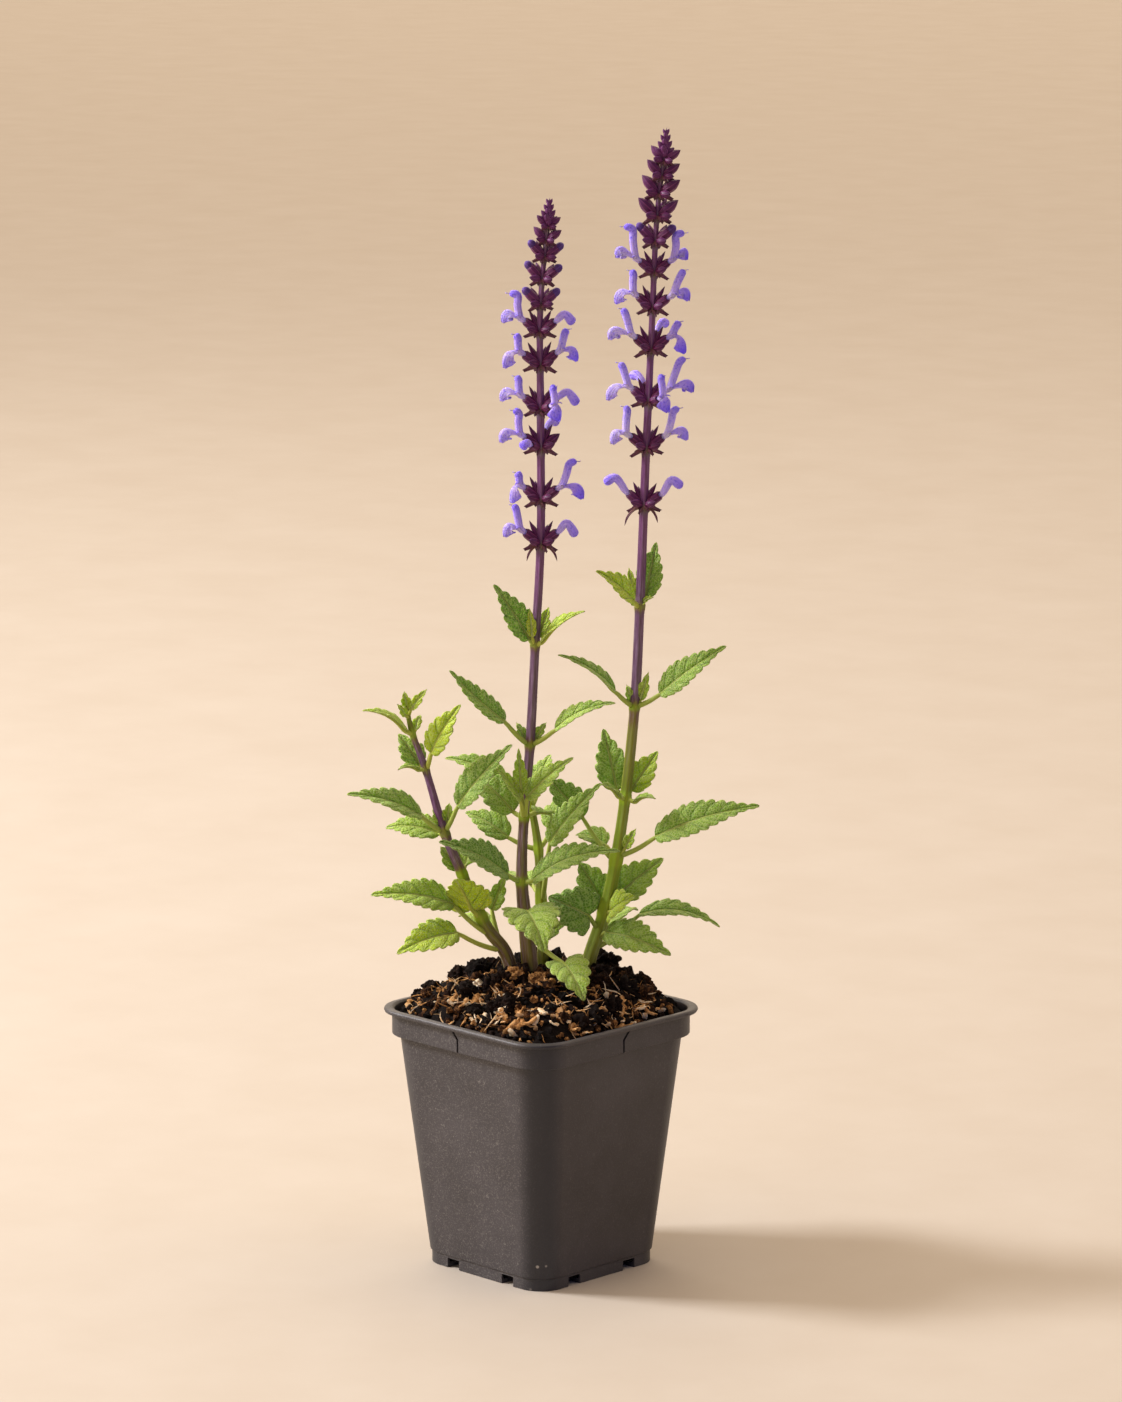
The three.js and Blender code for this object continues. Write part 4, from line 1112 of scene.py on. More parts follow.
    def build(self) -> None:
        """Builds, dresses and hands over the ground, its crumbs and its clods."""
        soil = SOIL.material()
        hand_over(dress(self.ground(), soil), "soil_ground", ["soil"], turned=False)
        dice, shapes = self.dice, self.patterns()
        bed, clods = Cluster(), Cluster()
        for _ in range(self.crumbs):
            size = dice.choice((0.5, 0.7, 0.9, 1.1, 1.5)) * dice.uniform(0.8, 1.2)
            tone = dice.choice((0.05, 0.15, 0.25, 0.35, 0.45, 0.55, 0.66)) + dice.uniform(-0.05, 0.05)
            self.scatter(bed, dice.choice(shapes["crumb"]), size, tone, self.spot(0.96), 0.3)
        for _ in range(self.clods):
            size = dice.uniform(1.8, 4.4)
            self.scatter(clods, dice.choice(shapes["clod"]), size, dice.uniform(0.1, 0.52), self.spot(0.9), 0.15)
        for x, y, size, tone, lift in self.lumps:
            at = (Vector((x, y, 0)) @ Matrix.Rotation(-PLANT_TURN, 3, "Z"))[:2]
            self.scatter(clods, dice.choice(shapes["clod"]), size, tone, at, lift)
        for bits in self.litter:
            for _ in range(bits.count):
                size, tone = dice.uniform(*bits.sizes), dice.choice(bits.tones)
                self.scatter(bed, dice.choice(shapes[bits.kind]), size, tone, self.spot(*bits.reach), bits.lift)
        for _ in range(self.front_fibres):
            size = dice.uniform(0.7, 1.6)
            self.scatter(bed, dice.choice(shapes["fibre"]), size, dice.uniform(0.7, 0.95), self.spot(0.6, 0.95), 1.3)
        for _ in range(self.grains):
            self.scatter(bed, dice.choice(shapes["crumb"]), dice.uniform(0.45, 0.8), 1.15, self.spot(0.92), 0.9)
        for cluster, name in ((bed, "soil_crumbs"), (clods, "soil_clods")):
            hand_over(dress(cluster.piece(name), soil), name, ["soil"], turned=False, smooth=60)


# Stems: points of the axis with the radius there, and the tone from green (0) to purple (1) by height

STEMS = {
    "left": [
        (-9, 1, 101, 2.2), (-13, 0, 117, 2.1), (-20, -1, 127, 1.9), (-28, -1, 145, 1.6), (-35, -1, 162, 1.4),
        (-42, -1, 186, 1.1), (-47, 0, 200, 0.9), (-49, 0, 210, 0.6),
    ],
    "middle": [
        (-3, 0, 101, 2.7), (-5, 0, 122, 2.5), (-7, 0, 145, 1.8), (-6, 0, 170, 1.5), (-4, 0, 194, 1.5),
        (-2, 0, 232, 1.4), (0, 0, 270, 1.3), (0, 0, 318, 1.2), (0, 0, 356, 0.9), (3, 0, 388, 0.6),
    ],
    "right": [
        (15, 7, 101, 2.5), (18, 6, 114, 2.3), (24, 6, 133, 2.1), (29, 6, 160, 1.8), (34, 6, 205, 1.6),
        (36, 6, 245, 1.5), (38, 6, 299, 1.3), (40, 6, 346, 1.0), (42, 6, 390, 0.8), (45, 6, 413, 0.6),
    ],
    "back": [(1, 12, 101, 1.9), (0, 12, 134, 1.6), (-1, 13, 153, 1.4), (-4, 14, 172, 1.0)],
}

STEM_TONES = {
    "left": [(101, 0.7), (125, 0.45), (142, 0.35), (152, 0.8), (165, 0.95), (190, 0.9), (205, 0.3)],
    "middle": [(101, 0.65), (118, 0.5), (135, 0.6), (160, 0.62), (185, 0.8), (232, 0.85), (262, 0.98), (400, 1.0)],
    "right": [(101, 0.5), (120, 0.3), (150, 0.25), (200, 0.42), (212, 0.85), (250, 0.9), (275, 0.98), (420, 1.0)],
    "back": [(101, 0.4), (172, 0.3)],
}



@dataclass
class Stem:
    """A stem's axis with lookups by height."""

    name: str
    square: float = 6  # how square its section is
    turn: float = 36  # of its flat sides from the plant's axes, in degrees
    collar: float = 1.7  # half-height of a node's collar
    swelling: float = 0.22  # of a collar, as a share of the radius
    sides: int = 24
    purple_from: float = 262  # above it a collar pales the purple less

    def __post_init__(self) -> None:
        """Lays the axis through the table's points."""
        self.rows = np.array(STEMS[self.name], float)
        self.path = smooth_path(self.rows[:, :3], 40)
        self.slopes = unit(np.gradient(self.path, axis=0))

    def point_at(self, z: float) -> np.ndarray:
        """The axis at height z."""
        return np.array([np.interp(z, self.path[:, 2], self.path[:, k]) for k in range(3)])

    def slope_at(self, z: float) -> np.ndarray:
        """The axis's direction at height z."""
        return unit(np.array([np.interp(z, self.path[:, 2], self.slopes[:, k]) for k in range(3)]))

    def radius_at(self, z: np.ndarray | float) -> np.ndarray | float:
        """The radius at height z."""
        return np.interp(z, self.rows[:, 2], self.rows[:, 3])

    def lean_at(self, z: float) -> np.ndarray:
        """The turn from upright to the stem's lean at height z."""
        return np.array(Vector(UP).rotation_difference(Vector(self.slope_at(z))).to_matrix())

    def build(self, nodes: list[float]) -> bpy.types.Object:
        """Models the stem as a round-cornered square tube with a collar at each node.

        Args:
            nodes: heights of its nodes.

        Returns:
            The stem, in the plant's millimetres.
        """
        height = self.rows[-1][2] - self.rows[0][2]
        points, tangents = resample(self.path, np.linspace(0, 1, int(height * 0.9)))
        turned = np.linspace(0, FULL_TURN, self.sides + 1) + math.radians(self.turn)
        power = self.square
        section = 0.96 / (np.abs(np.cos(turned)) ** power + np.abs(np.sin(turned)) ** power) ** (1 / power)
        section -= 0.06 * np.clip(np.cos(4 * turned), 0, 1)
        z = points[:, 2]
        near = np.clip(sum(np.exp(-(((z - node) / self.collar) ** 2)) for node in nodes), 0, 1)
        radii = self.radius_at(z) * (1 + self.swelling * near)
        radii[0] = radii[-1] = POINT_END
        tube = sheet(tube_rings(points, tangents, radii, self.sides, outline=section))
        low = z < self.purple_from
        tones = np.interp(z, *zip(*STEM_TONES[self.name])) - 0.55 * near * low - 0.3 * near * ~low
        edge = np.clip(-np.cos(4 * turned), 0, 1) ** 3
        mark(tube, tone=np.repeat(np.clip(tones, 0, 1), self.sides + 1), edge=np.tile(edge, len(z)))
        return weld(tube)


# --- Leaves ---


@dataclass(frozen=True)
class Leaf:
    """A leaf: height of its node, vectors of its stalk and blade, and the blade's width, bow, lean and tone."""

    at: float
    stalk: tuple[float, float, float]
    blade: tuple[float, float, float]
    width: float
    arch: float
    lean: float
    tone: float  # from dark green (0) to lime (1)
    heart: bool = False


# By shoot, in the order of a leaf's fields.
LEAVES = {
    "left": [
        (208, (0, 0, 1), (-1, -1, 6), 4, 1, 80, 0.85), (206, (1, -1, 2), (6, -1, 8), 4, 1, 60, 0.75),
        (205, (-1, -2, 1), (-3, -3, 5), 3.5, 1, 60, 0.85), (205, (0, 2, 1), (3, 2, 6), 3.5, 1, -30, 0.8),
        (199, (-2, -1, 1), (-16, -6, 9), 9, 2.5, 8, 0.62), (199, (1, 1, 1), (2, 4, 5), 4, 1, 20, 0.7),
        (186, (2, -1, 6), (11, -4, 19), 11, 2, 45, 0.78), (186, (-2, 2, 1), (-8, 4, 11), 10, 1, 55, 0.42),
        (186, (-2, -1, 0), (-8, -5, 1), 5, 1.5, 0, 0.5), (163, (-8, -3, 6), (-27, -8, 10), 12.5, 3, 32, 0.36),
        (163, (5, -4, 10), (20, -5, 24), 12.5, 2, 42, 0.3), (162, (-2, 4, -1), (-20, 5, 1), 12, 3, 40, 0.48),
        (163, (-1, 0, 2), (-3, 1, 7), 4.5, 1, 60, 0.55), (163, (1, 1, 3), (1, 1, 7), 5, 1, 70, 0.6),
        (147, (-1, 2, 1), (-7, 3, 8), 8, 1, 55, 0.45), (147, (1, 4, 2), (4, 16, 6), 11, 1, 0, 0.45),
        # The fan leaf shows its underside; its lime tone is partly its own colour and partly painted light, for light
        # shining through it from behind.
        (131, (-3, -3, 3), (-6, -10, 14), 16, 1, -50, 0.95, True),
        (124, (-14, -3, 12), (-30, -6, 5), 14, 3.5, 40, 0.52), (118, (-17, -6, 8), (-22, -8, -6), 14.5, 3, 44, 0.72),
        (119, (-4, 4, 13), (5, 1, 13), 7, 1, 60, 0.5), (118, (-5, 5, 5), (-12, 15, 3), 12, 3, 5, 0.5),
    ],
    "middle": [
        (144, (-5, -4, 3), (-25, -11, 15), 14.5, 3, 38, 0.2), (144, (4, -4, 1), (32, -4, 12), 13.5, 5, 32, 0.36),
        (168, (-4, 4, 1), (-15, 6, 14), 14, 2, 50, 0.36), (168, (4, 4, 1), (7, 9, -4), 10, 1, 10, 0.42),
        (169, (-1, -4, 8), (-1, -3, 18), 6, 1, 75, 0.6), (168, (-1, -5, 7), (-9, -4, 13), 7, 1, 30, 0.6),
        (168, (1, -5, 8), (17, -4, 16), 9.5, 2, 45, 0.48), (195, (-9, -3, 9), (-20, -5, 20), 10, -1, 36, 0.3),
        (195, (9, -3, 6), (22, -5, 11), 9.5, 3, 28, 0.42), (195, (-2, 1, 2), (-3, 0, 6), 4, 1, 60, 0.45),
        (195, (2, 1, 2), (4, 0, 6), 4, 1, 60, 0.5), (232, (-2, -1, 2), (-13, -4, 21), 11, 1, 48, 0.28),
        (232, (2, -2, 1), (16, -7, 13), 9, 2, 20, 0.68), (232, (-1, -2, 3), (-1, -1, 11), 4, 1, 70, 0.8),
        (232, (1, 2, 2), (4, 3, 11), 6, 1, 60, 0.72), (131, (1, -5, 3), (6, -19, -11), 20, 3, 20, 0.46, True),
        (125, (14, -15, -8.5), (7, -14, -10.5), 14, 2.5, 32, 0.45, True),
        (125, (5, 3, -4), (10, 1, 7), 6, 1, 50, 0.5),
    ],
    "right": [
        (245, (-2, -3, 2), (-14, -8, 13), 11, 1.5, 38, 0.75), (245, (2, 2, 3), (4, 2, 20), 10.5, 1, 60, 0.35),
        (245, (-2, 1, 3), (-2, 1, 11), 4.5, 1, 60, 0.75), (245, (1, -1, 1), (4, -2, 3), 3, 1, 40, 0.7),
        (208, (-7, -3, 6), (-21, -7, 15), 8.5, 2.5, 24, 0.34), (208, (9, -3, 5), (24, -6, 19), 12, 1.5, 42, 0.34),
        (208, (2, 0, 2), (3, -1, 11), 4.5, 1, 60, 0.6), (208, (-1, 0, 2), (-2, 0, 6), 4, 1, 60, 0.55),
        (174, (-3, 3, 2), (-5, 5, 22), 13, 1, 65, 0.38), (174, (2, 2, 2), (10, 4, 14), 11, 1, 58, 0.65),
        (174, (-2, -4, 1), (-7, -6, 6), 8, 1, 20, 0.42), (174, (3, -3, -1), (8, -4, 2), 6, 1.5, 10, 0.45),
        (152, (14, -4, 8), (38, -6, 13), 14.5, 3.5, 44, 0.36), (152, (-4, 5, 3), (-11, 8, 2), 12, 2, 20, 0.42),
        (150, (-12, 6, 15), (-14, 0, 16), 13, 1, 52, 0.3), (152, (3, -1, 3), (4, -2, 8), 4.5, 1, 60, 0.6),
        (133, (3, 2, 3), (18, 3, 14), 14.5, 1, 56, 0.45), (131, (2, -4, 1), (9, -6, 7), 13, 1, 38, 0.75, True),
        (133, (-2, 3, 2), (-8, 5, 13), 13, 1, 55, 0.4), (125, (-4, -2, 5), (-15, 0, 7), 17, 1.5, 66, 0.25, True),
        (122, (3, -3, 2), (24, -11, -6), 15, 3, 46, 0.42), (117, (17, 4, 12), (30, -3, -4), 10, 5, 24, 0.34),
        (120, (4, 6, 4), (12, 18, 2), 12, 3, 0, 0.42),
    ],
    "back": [
        (133, (3, -8, 24), (19, -6, 24), 11.5, 2, 42, 0.42), (153, (-11, 2, 4), (-16, 7, 8), 12, 2, 40, 0.4),
        (168, (-9, 2, 7), (-23, 3, 11), 12, 4, 30, 0.42), (153, (5, 6, 6), (6, 17, 8), 12, 2, -10, 0.42),
        (169, (2, 5, 3), (5, 16, 12), 11, 2, -20, 0.42), (170, (0, 1, 3), (-2, 1, 9), 5, 1, 60, 0.6),
        (136, (-3, 7, 2), (-9, 18, -2), 13, 3, -10, 0.42),
    ],
}


@dataclass
class LeafMaker:
    """Shapes a leaf's blade and its stalk, which runs on under the blade as its midrib."""

    stem: Stem
    leaf: Leaf
    seed: int
    fold: float = 16  # of each half of the blade, in degrees
    tooth_pitch: float = 3.6
    tooth_rows: int = 8  # rows of the mesh to a tooth
    tooth_limits: tuple[int, int] = (3, 12)  # fewest and most teeth of a margin
    tooth_depth: tuple[float, float] = (0.09, 0.25)  # as a share of the width, and millimetres more
    veins_per_tooth: float = 0.62
    fewest_veins: float = 4.0
    vein_slant: float = 0.42  # how far a side vein runs forwards, as a share of the width
    pucker: float = 0.024  # height of the fields between side veins, as a share of the width
    rib_sink: float = 0.3
    wave: float = 0.05  # of the margin, as a share of the half width
    curl: float = 0.07  # of the margin downwards, likewise
    thickness: float = 0.3
    petiole: float = 0.8
    widen: float = 1.03
    quilt: tuple[float, float] = (0.13, 1.5)  # height and width of the fine wrinkles
    columns: tuple = (0, 0.05, 0.12, 0.22, 0.34, 0.47, 0.6, 0.72, 0.83, 0.92, 1.0)  # from midrib to margin

    def __post_init__(self) -> None:
        """Lays out the leaf's frame."""
        leaf, stem = self.leaf, self.stem
        axis = stem.point_at(leaf.at)
        self.base = axis + np.array(leaf.stalk, float)
        self.tip = self.base + np.array(leaf.blade, float)
        outwards = np.array([leaf.stalk[0] + 0.1 * leaf.blade[0], leaf.stalk[1] + 0.1 * leaf.blade[1], 0])
        self.start = axis + unit(outwards) * 0.4 * stem.radius_at(leaf.at)
        self.length = float(np.linalg.norm(self.tip - self.base))
        ahead = (self.tip - self.base) / self.length
        lean = math.radians(leaf.lean)
        facing = np.array([0, -math.sin(lean), math.cos(lean)])
        up = unit(facing - ahead * (facing @ ahead))
        self.across = np.cross(up, ahead)
        self.crest = (self.base + self.tip) / 2 + 2 * leaf.arch * up

    def rib(self, t: np.ndarray) -> tuple[np.ndarray, np.ndarray, np.ndarray]:
        """The midrib.

        Args:
            t: shares of the blade's length.

        Returns:
            Its points, tangents and normals there.
        """
        t = t[:, None]
        points = (1 - t) ** 2 * self.base + 2 * t * (1 - t) * self.crest + t * t * self.tip
        tangents = unit((1 - t) * (self.crest - self.base) + t * (self.tip - self.crest))
        return points, tangents, unit(np.cross(tangents, self.across))

    def outline(self, t: np.ndarray) -> np.ndarray:
        """Half the blade's width without its teeth.

        Args:
            t: shares of the blade's length.

        Returns:
            The half width there, in millimetres.
        """
        leaf = self.leaf
        outline = np.sin(math.pi * (0.05 + 0.95 * t) ** 0.66) + (0.5 * (1 - t) ** 6 if leaf.heart else 0)
        foot = 0.5 if leaf.heart else 0.12
        outline *= foot + (1 - foot) * np.sqrt(1 - np.clip(1 - t / 0.06, 0, 1) ** 2)
        blunt = 0.2 * np.sqrt(1 - np.clip((t - 0.88) / 0.12, 0, 1) ** 2)
        outline = np.where(t > 0.5, np.maximum(outline, blunt), outline)
        return leaf.width / 2 * outline * self.widen

    def blade(self) -> bpy.types.Object:
        """Models the toothed, veined blade.

        Returns:
            The blade as a sheet without thickness.
        """
        leaf = self.leaf
        teeth = int(np.clip(round(self.length / self.tooth_pitch), *self.tooth_limits))
        t = np.linspace(0, 1, teeth * self.tooth_rows + 1)
        points, tangents, normals = self.rib(t)
        half = self.outline(t)
        # Each tooth swells slowly and ends bluntly; the first and the last are the shallowest.
        bump = np.sin(math.pi * ((t * teeth + 0.15) % 1) ** 1.25) ** 0.55
        depth = (self.tooth_depth[0] * leaf.width + self.tooth_depth[1]) * np.clip(t / 0.1, 0, 1) * (1 - t**8)
        columns = np.array(self.columns)
        share = np.concatenate([columns[:0:-1], columns])[None, :]
        side = np.sign(np.linspace(1, -1, share.shape[1]))[None, :]
        edge = share**3
        reach = np.maximum(half[:, None] * share - 0.8 * (depth * (1 - bump))[:, None] * edge, 0)
        # Side veins run forwards from the midrib, sunk between quilted fields.
        lag = self.vein_slant * leaf.width / self.length * share**1.15
        vein = max(self.fewest_veins, round(teeth * self.veins_per_tooth)) * (t[:, None] - lag) + 0.5
        between = (0.5 - 0.5 * np.cos(FULL_TURN * vein)) ** 0.7
        inside = smoothstep(0.02, 0.2, share) * (1 - 0.6 * smoothstep(0.8, 1, share))
        shade = np.minimum(1, half / 3)[:, None]  # less relief where the blade is narrow
        relief = self.pucker * leaf.width * between * inside * shade
        relief -= self.rib_sink * np.exp(-((reach / 0.5) ** 2)) * shade
        swing = np.sin(FULL_TURN * (1.6 * t + 0.37 * self.seed))
        wave = self.wave * half[:, None] * swing[:, None] * share**2 * side
        roll = -self.curl * half[:, None] * share**4
        fold = math.radians(self.fold)
        lift = math.sin(fold) * reach * (1.2 - 0.2 * share) + relief + wave + roll
        # A heart's lobes reach back past its foot, and teeth point forwards.
        lobes = min(0.2 * self.length, 0.3 * np.linalg.norm(self.base - self.start)) if leaf.heart else 0
        shift = -share * (lobes * (1 - t) ** 5)[:, None]
        shift = shift + edge * (0.24 * self.length / teeth * bump * (1 - t**4) * np.clip(t / 0.1, 0, 1))[:, None]
        shift *= (1 - t**6)[:, None]
        grid = (
            points[:, None]
            + (side * math.cos(fold) * reach)[..., None] * self.across
            + lift[..., None] * normals[:, None]
            + shift[..., None] * tangents[:, None]
        )
        height, width = self.quilt
        quilt = np.array([[height * noise.noise(Vector(p / width)) for p in row] for row in grid])
        grid = grid + (quilt * shade * smoothstep(0, 0.15, share))[..., None] * normals[:, None]
        rib = reach / (0.22 + 0.42 * (1 - t)[:, None])
        margin = np.broadcast_to(share, reach.shape)
        made = mark(sheet(grid), tone=leaf.tone, vein=vein.reshape(-1), rib=rib.reshape(-1), edge=margin.reshape(-1))
        return weld(made, closed=False)

    def stalk(self) -> bpy.types.Object:
        """Models the stalk and, under the blade, the midrib as one tapering tube.

        Returns:
            The tube.
        """
        half = min(self.petiole, 0.14 * self.leaf.width)
        bow = (self.start + self.base) / 2 - 0.12 * np.linalg.norm(self.base - self.start) * UP
        s = np.linspace(0, 1, 9)[:-1, None]
        lower = (1 - s) ** 2 * self.start + 2 * s * (1 - s) * bow + s * s * self.base
        t = np.linspace(0, 0.94, 16)
        points, _, normals = self.rib(t)
        sink = (self.thickness + 0.65 * half * (1 - t) * smoothstep(-0.02, 0.08, t))[:, None]
        path = np.vstack([lower, points - normals * sink])
        radii = np.concatenate([half * (1.3 - 0.3 * s[:, 0]), np.maximum(0.9 * half * (1 - t) ** 0.8, 0.1)])
        radii[0] = radii[-1] = POINT_END
        tube = sheet(tube_rings(path, unit(np.gradient(path, axis=0)), radii, 8))
        return weld(mark(tube, tone=min(1.0, self.leaf.tone + 0.25)))


# --- Flower spikes ---


class Form(Enum):
    """Forms of a corolla."""

    OPEN = "open"
    BENT = "bent"


@dataclass(frozen=True)
class Flower:
    """A corolla: its seat, its form, and reach and rise of its ends.

    An open one has the tips of its hood and its lower lip, a bent one the height of its bend and its club end.
    """

    seat: str
    form: Form
    first: tuple[float, float]
    second: tuple[float, float]
    hook: float = 1.0  # how far an open one's hood hooks outwards
    pale: float = 0.0


@dataclass(frozen=True)
class Whorl:
    """A whorl: its height on the stem, its size, its turn about the stem and its flowers."""

    at: float
    size: float
    turn: float
    flowers: tuple[Flower, ...] = ()


def opened(seat: str, hood: tuple[float, float], lip: tuple[float, float], hook: float = 1, pale: float = 0) -> Flower:
    """An open flower."""
    return Flower(seat, Form.OPEN, hood, lip, hook, pale)


def bent(seat: str, crest: float, end: tuple[float, float]) -> Flower:
    """A flower that isn't open yet."""
    return Flower(seat, Form.BENT, (0.72 * end[0], crest), end)


# Places round a whorl: bearing about the stem and rise of the calyx, in degrees, and the calyx's share.
SEATS = {
    "right": (0, 36, 1), "rightBack": (46, 60, 0.95), "rightFront": (-42, 18, 0.85),
    "left": (180, 36, 1), "leftBack": (134, 60, 0.95), "leftFront": (222, 18, 0.85),
}

WHORLS = {
    "middle": [
        Whorl(269, 1, 6, (opened("left", (10, 14.5), (13.5, 3.5)), bent("right", 7.5, (13, 2.5)))),
        Whorl(285, 1, -8, (opened("left", (9, 10), (11.5, -0.5)), opened("right", (13, 14.5), (15.5, 1.5), 2.6))),
        Whorl(304, 1, 8, (opened("left", (10, 14), (15, 3), 2), bent("leftFront", 2.8, (10.5, 1.5)),
                          bent("rightBack", 9, (10, 8)))),
        Whorl(318, 1, -8, (opened("left", (9, 12), (15, 3.5), pale=0.2), opened("rightFront", (8, 9.5), (11, -2.5)),
                           bent("right", 6.5, (13.5, 2)))),
        Whorl(334, 1, 8, (opened("left", (9, 11.5), (13.5, 0)), opened("right", (10, 13), (14, 2), pale=0.25))),
        Whorl(346, 0.95, -6, (opened("left", (11, 14), (14, 4), 3), bent("right", 6.6, (12.3, 3.2)))),
        Whorl(356, 1, 8),
        Whorl(365, 1, -8),
        Whorl(373, 0.95, 8),
        Whorl(379, 0.8, -8),
        Whorl(384, 0.68, 8),
    ],
    "right": [
        Whorl(282, 1, -6, (bent("left", 10, (14.5, 8)), bent("right", 9.5, (14, 7)))),
        Whorl(303, 1, 8, (opened("left", (8, 15.5), (13, 2.5), pale=0.55),
                          opened("right", (12, 14.5), (15.5, 3.5), 2, 0.6))),
        Whorl(320, 1, -8, (opened("left", (10.5, 14), (15.5, 1), pale=0.4),
                           opened("right", (13.5, 16), (16.5, 4.5), 2, 0.2),
                           opened("rightFront", (8, 10.5), (11.5, -2)), bent("leftBack", 9, (10, 8)))),
        Whorl(339, 1, 8, (opened("left", (10.5, 15), (15.5, 4.5), pale=0.4), opened("right", (10.5, 10), (13, -1)),
                          bent("rightBack", 9, (10, 8)))),
        Whorl(354, 0.95, -8, (opened("left", (8, 13.5), (14, 2), pale=0.2),
                              opened("right", (11.5, 14), (13.5, 3.5), pale=0.2))),
        Whorl(367, 0.9, 6, (opened("left", (11, 16.5), (14, 6), 3, 0.1), opened("right", (11, 14), (12.5, 5), 3))),
        Whorl(378, 1.05, -8),
        Whorl(387, 1.15, 8),
        Whorl(395, 1.1, -8),
        Whorl(401.5, 0.95, 8),
        Whorl(407, 0.85, -8),
    ],
}

SWOLLEN = {"middle": (356, 365, 373), "right": (378,)}  # whorls whose buds show their violet ends
LOW_BRACTS = {"middle": [(-5, -6), (6, -6)], "right": [(-7, -7), (5, -6)]}
SPIKE_TIPS = {"middle": (387, 394.5, 3.4), "right": (411, 419, 45.2)}  # last node, top and its x

CALYX_LENGTH = 7.4
CALYX_RADIUS = 1.8
CALYX_HOLLOW = 0.5  # share of its length at which its mouth's floor lies
CALYX_SINK = 0.45  # how deep it stands in the stem, as a share of the stem's radius
CLEARANCE = 0.3


@dataclass
class Seat:
    """The frame of one seat of a whorl."""

    node: np.ndarray
    way: np.ndarray
    out: np.ndarray
    foot: np.ndarray
    length: float
    radius: float

    @classmethod
    def of(cls, stem: Stem, whorl: Whorl, name: str, raised: float = 0) -> "Seat":
        """Finds a seat.

        Args:
            stem: the stem that carries the whorl.
            whorl: the whorl.
            name: the seat's name.
            raised: degrees that are added to its rise.

        Returns:
            The seat.
        """
        bearing, rise, share = SEATS[name]
        node = stem.point_at(whorl.at)
        way = stem.lean_at(whorl.at) @ direction(bearing + whorl.turn, rise + raised)
        foot = node + CALYX_SINK * stem.radius_at(whorl.at) * way
        size = whorl.size * share
        return cls(node, way, direction(bearing + whorl.turn, 0), foot, CALYX_LENGTH * size, CALYX_RADIUS * size)

    def axes(self, radius: float, length: float) -> np.ndarray:
        """Axes of what grows along the calyx."""
        return axes_along(self.way, radius, radius, length)

    def reach(self, reach: float, rise: float) -> np.ndarray:
        """A point by its reach from the stem and its rise above the whorl."""
        return self.node + self.out * reach + UP * rise


@dataclass
class SpikeParts:
    """Patterns that a spike repeats: calyx, bud, violet bud end and bract, one unit long and one in radius."""

    # Heights of the calyx's rim round its mouth: one long tooth behind, two in front.
    rim: tuple = (0.84, 0.85, 0.88, 0.94, 1.02, 0.94, 0.88, 0.85, 0.84, 0.86, 0.94, 0.88, 0.84, 0.88, 0.94, 0.86, 0.84)
    # Profiles as (share of the length, radius).
    outside: tuple = (
        (0, 0), (0.04, 0.36), (0.14, 0.66), (0.3, 0.9), (0.48, 1.0), (0.66, 0.98), (0.84, 0.94), (1, 0.86),
    )
    inside: tuple = ((0.93, 0.74), (0.72, 0.74), (0.56, 0.5), (0.52, 0))
    bud_profile: tuple = (
        (0, 0), (0.04, 0.36), (0.16, 0.7), (0.32, 0.93), (0.5, 1.0), (0.66, 0.9), (0.8, 0.62), (0.91, 0.3), (1, 0),
    )
    violet_profile: tuple = (
        (0, 0), (0.15, 0.6), (0.45, 0.93), (0.65, 1.0), (0.8, 0.92), (0.91, 0.66), (0.98, 0.3), (1, 0),
    )
    ribs: float = 0.05  # depth of the calyx's ribs
    pole: float = 0.0005  # vertices of a pole lie closer than this

    def __post_init__(self) -> None:
        """Models the patterns."""
        self.calyx = self.cup()
        self.bud = self.spindle(16, self.bud_profile, 0.06)
        self.violet = self.spindle(12, self.violet_profile)
        self.bract = self.scale_leaf()
        self.hair = self.spindle(3, ((0, 0.5), (0.5, 0.4), (1, 0)))

    def spindle(self, sides: int, profile: tuple, ribs: float = 0.0) -> Pattern:
        """Models a closed spindle along +Z.

        Args:
            sides: corners of a ring.
            profile: its rings, as (share of the length, radius).
            ribs: depth of the ribs along it.

        Returns:
            The spindle.
        """
        around = np.linspace(0, FULL_TURN, sides + 1)
        rows = [[(r * (1 + ribs * (-1) ** k) * math.cos(a), r * (1 + ribs * (-1) ** k) * math.sin(a), z)
                 for k, a in enumerate(around)] for z, r in profile]
        return Pattern.of(weld(sheet(np.array(rows, float)), self.pole))

    def cup(self) -> Pattern:
        """Models a ribbed two-lipped bell with three long teeth and a hollow mouth.

        Returns:
            The bell.
        """
        around, rim = np.linspace(0, FULL_TURN, len(self.rim)), np.array(self.rim)
        rows = []
        for depth, (z, r) in enumerate(self.outside + self.inside):
            pull = smoothstep(0.4, 1, np.array(z)) if depth < 9 else 0.5
            high = z * (1 - pull + pull * rim)
            ribs = 1 + self.ribs * np.cos(8 * around) * (0 < depth < 8)
            pinch = 1 - 0.35 * pull * np.clip(rim - 0.88, 0, 1) / 0.12 * (depth in (7, 8))
            rows.append(np.column_stack([r * ribs * pinch * np.cos(around), r * ribs * pinch * np.sin(around), high]))
        return Pattern.of(weld(sheet(np.array(rows)), self.pole))

    def scale_leaf(self) -> Pattern:
        """Models a narrow pointed bract along +Z, its face up (+Y) and its tip bent down.

        Returns:
            The bract.
        """
        rows = ((0, 0.25), (0.12, 0.6), (0.3, 0.95), (0.5, 1.0), (0.7, 0.8), (0.88, 0.4), (1.0, 0.02))
        grid = [[(u * half, 0.3 * abs(u) - 0.6 * (s - 0.3) ** 2, s) for u in (1, 0.5, 0, -0.5, -1)] for s, half in rows]
        return Pattern.of(modify(sheet(np.array(grid, float)), "SOLIDIFY", thickness=0.5, offset=0))


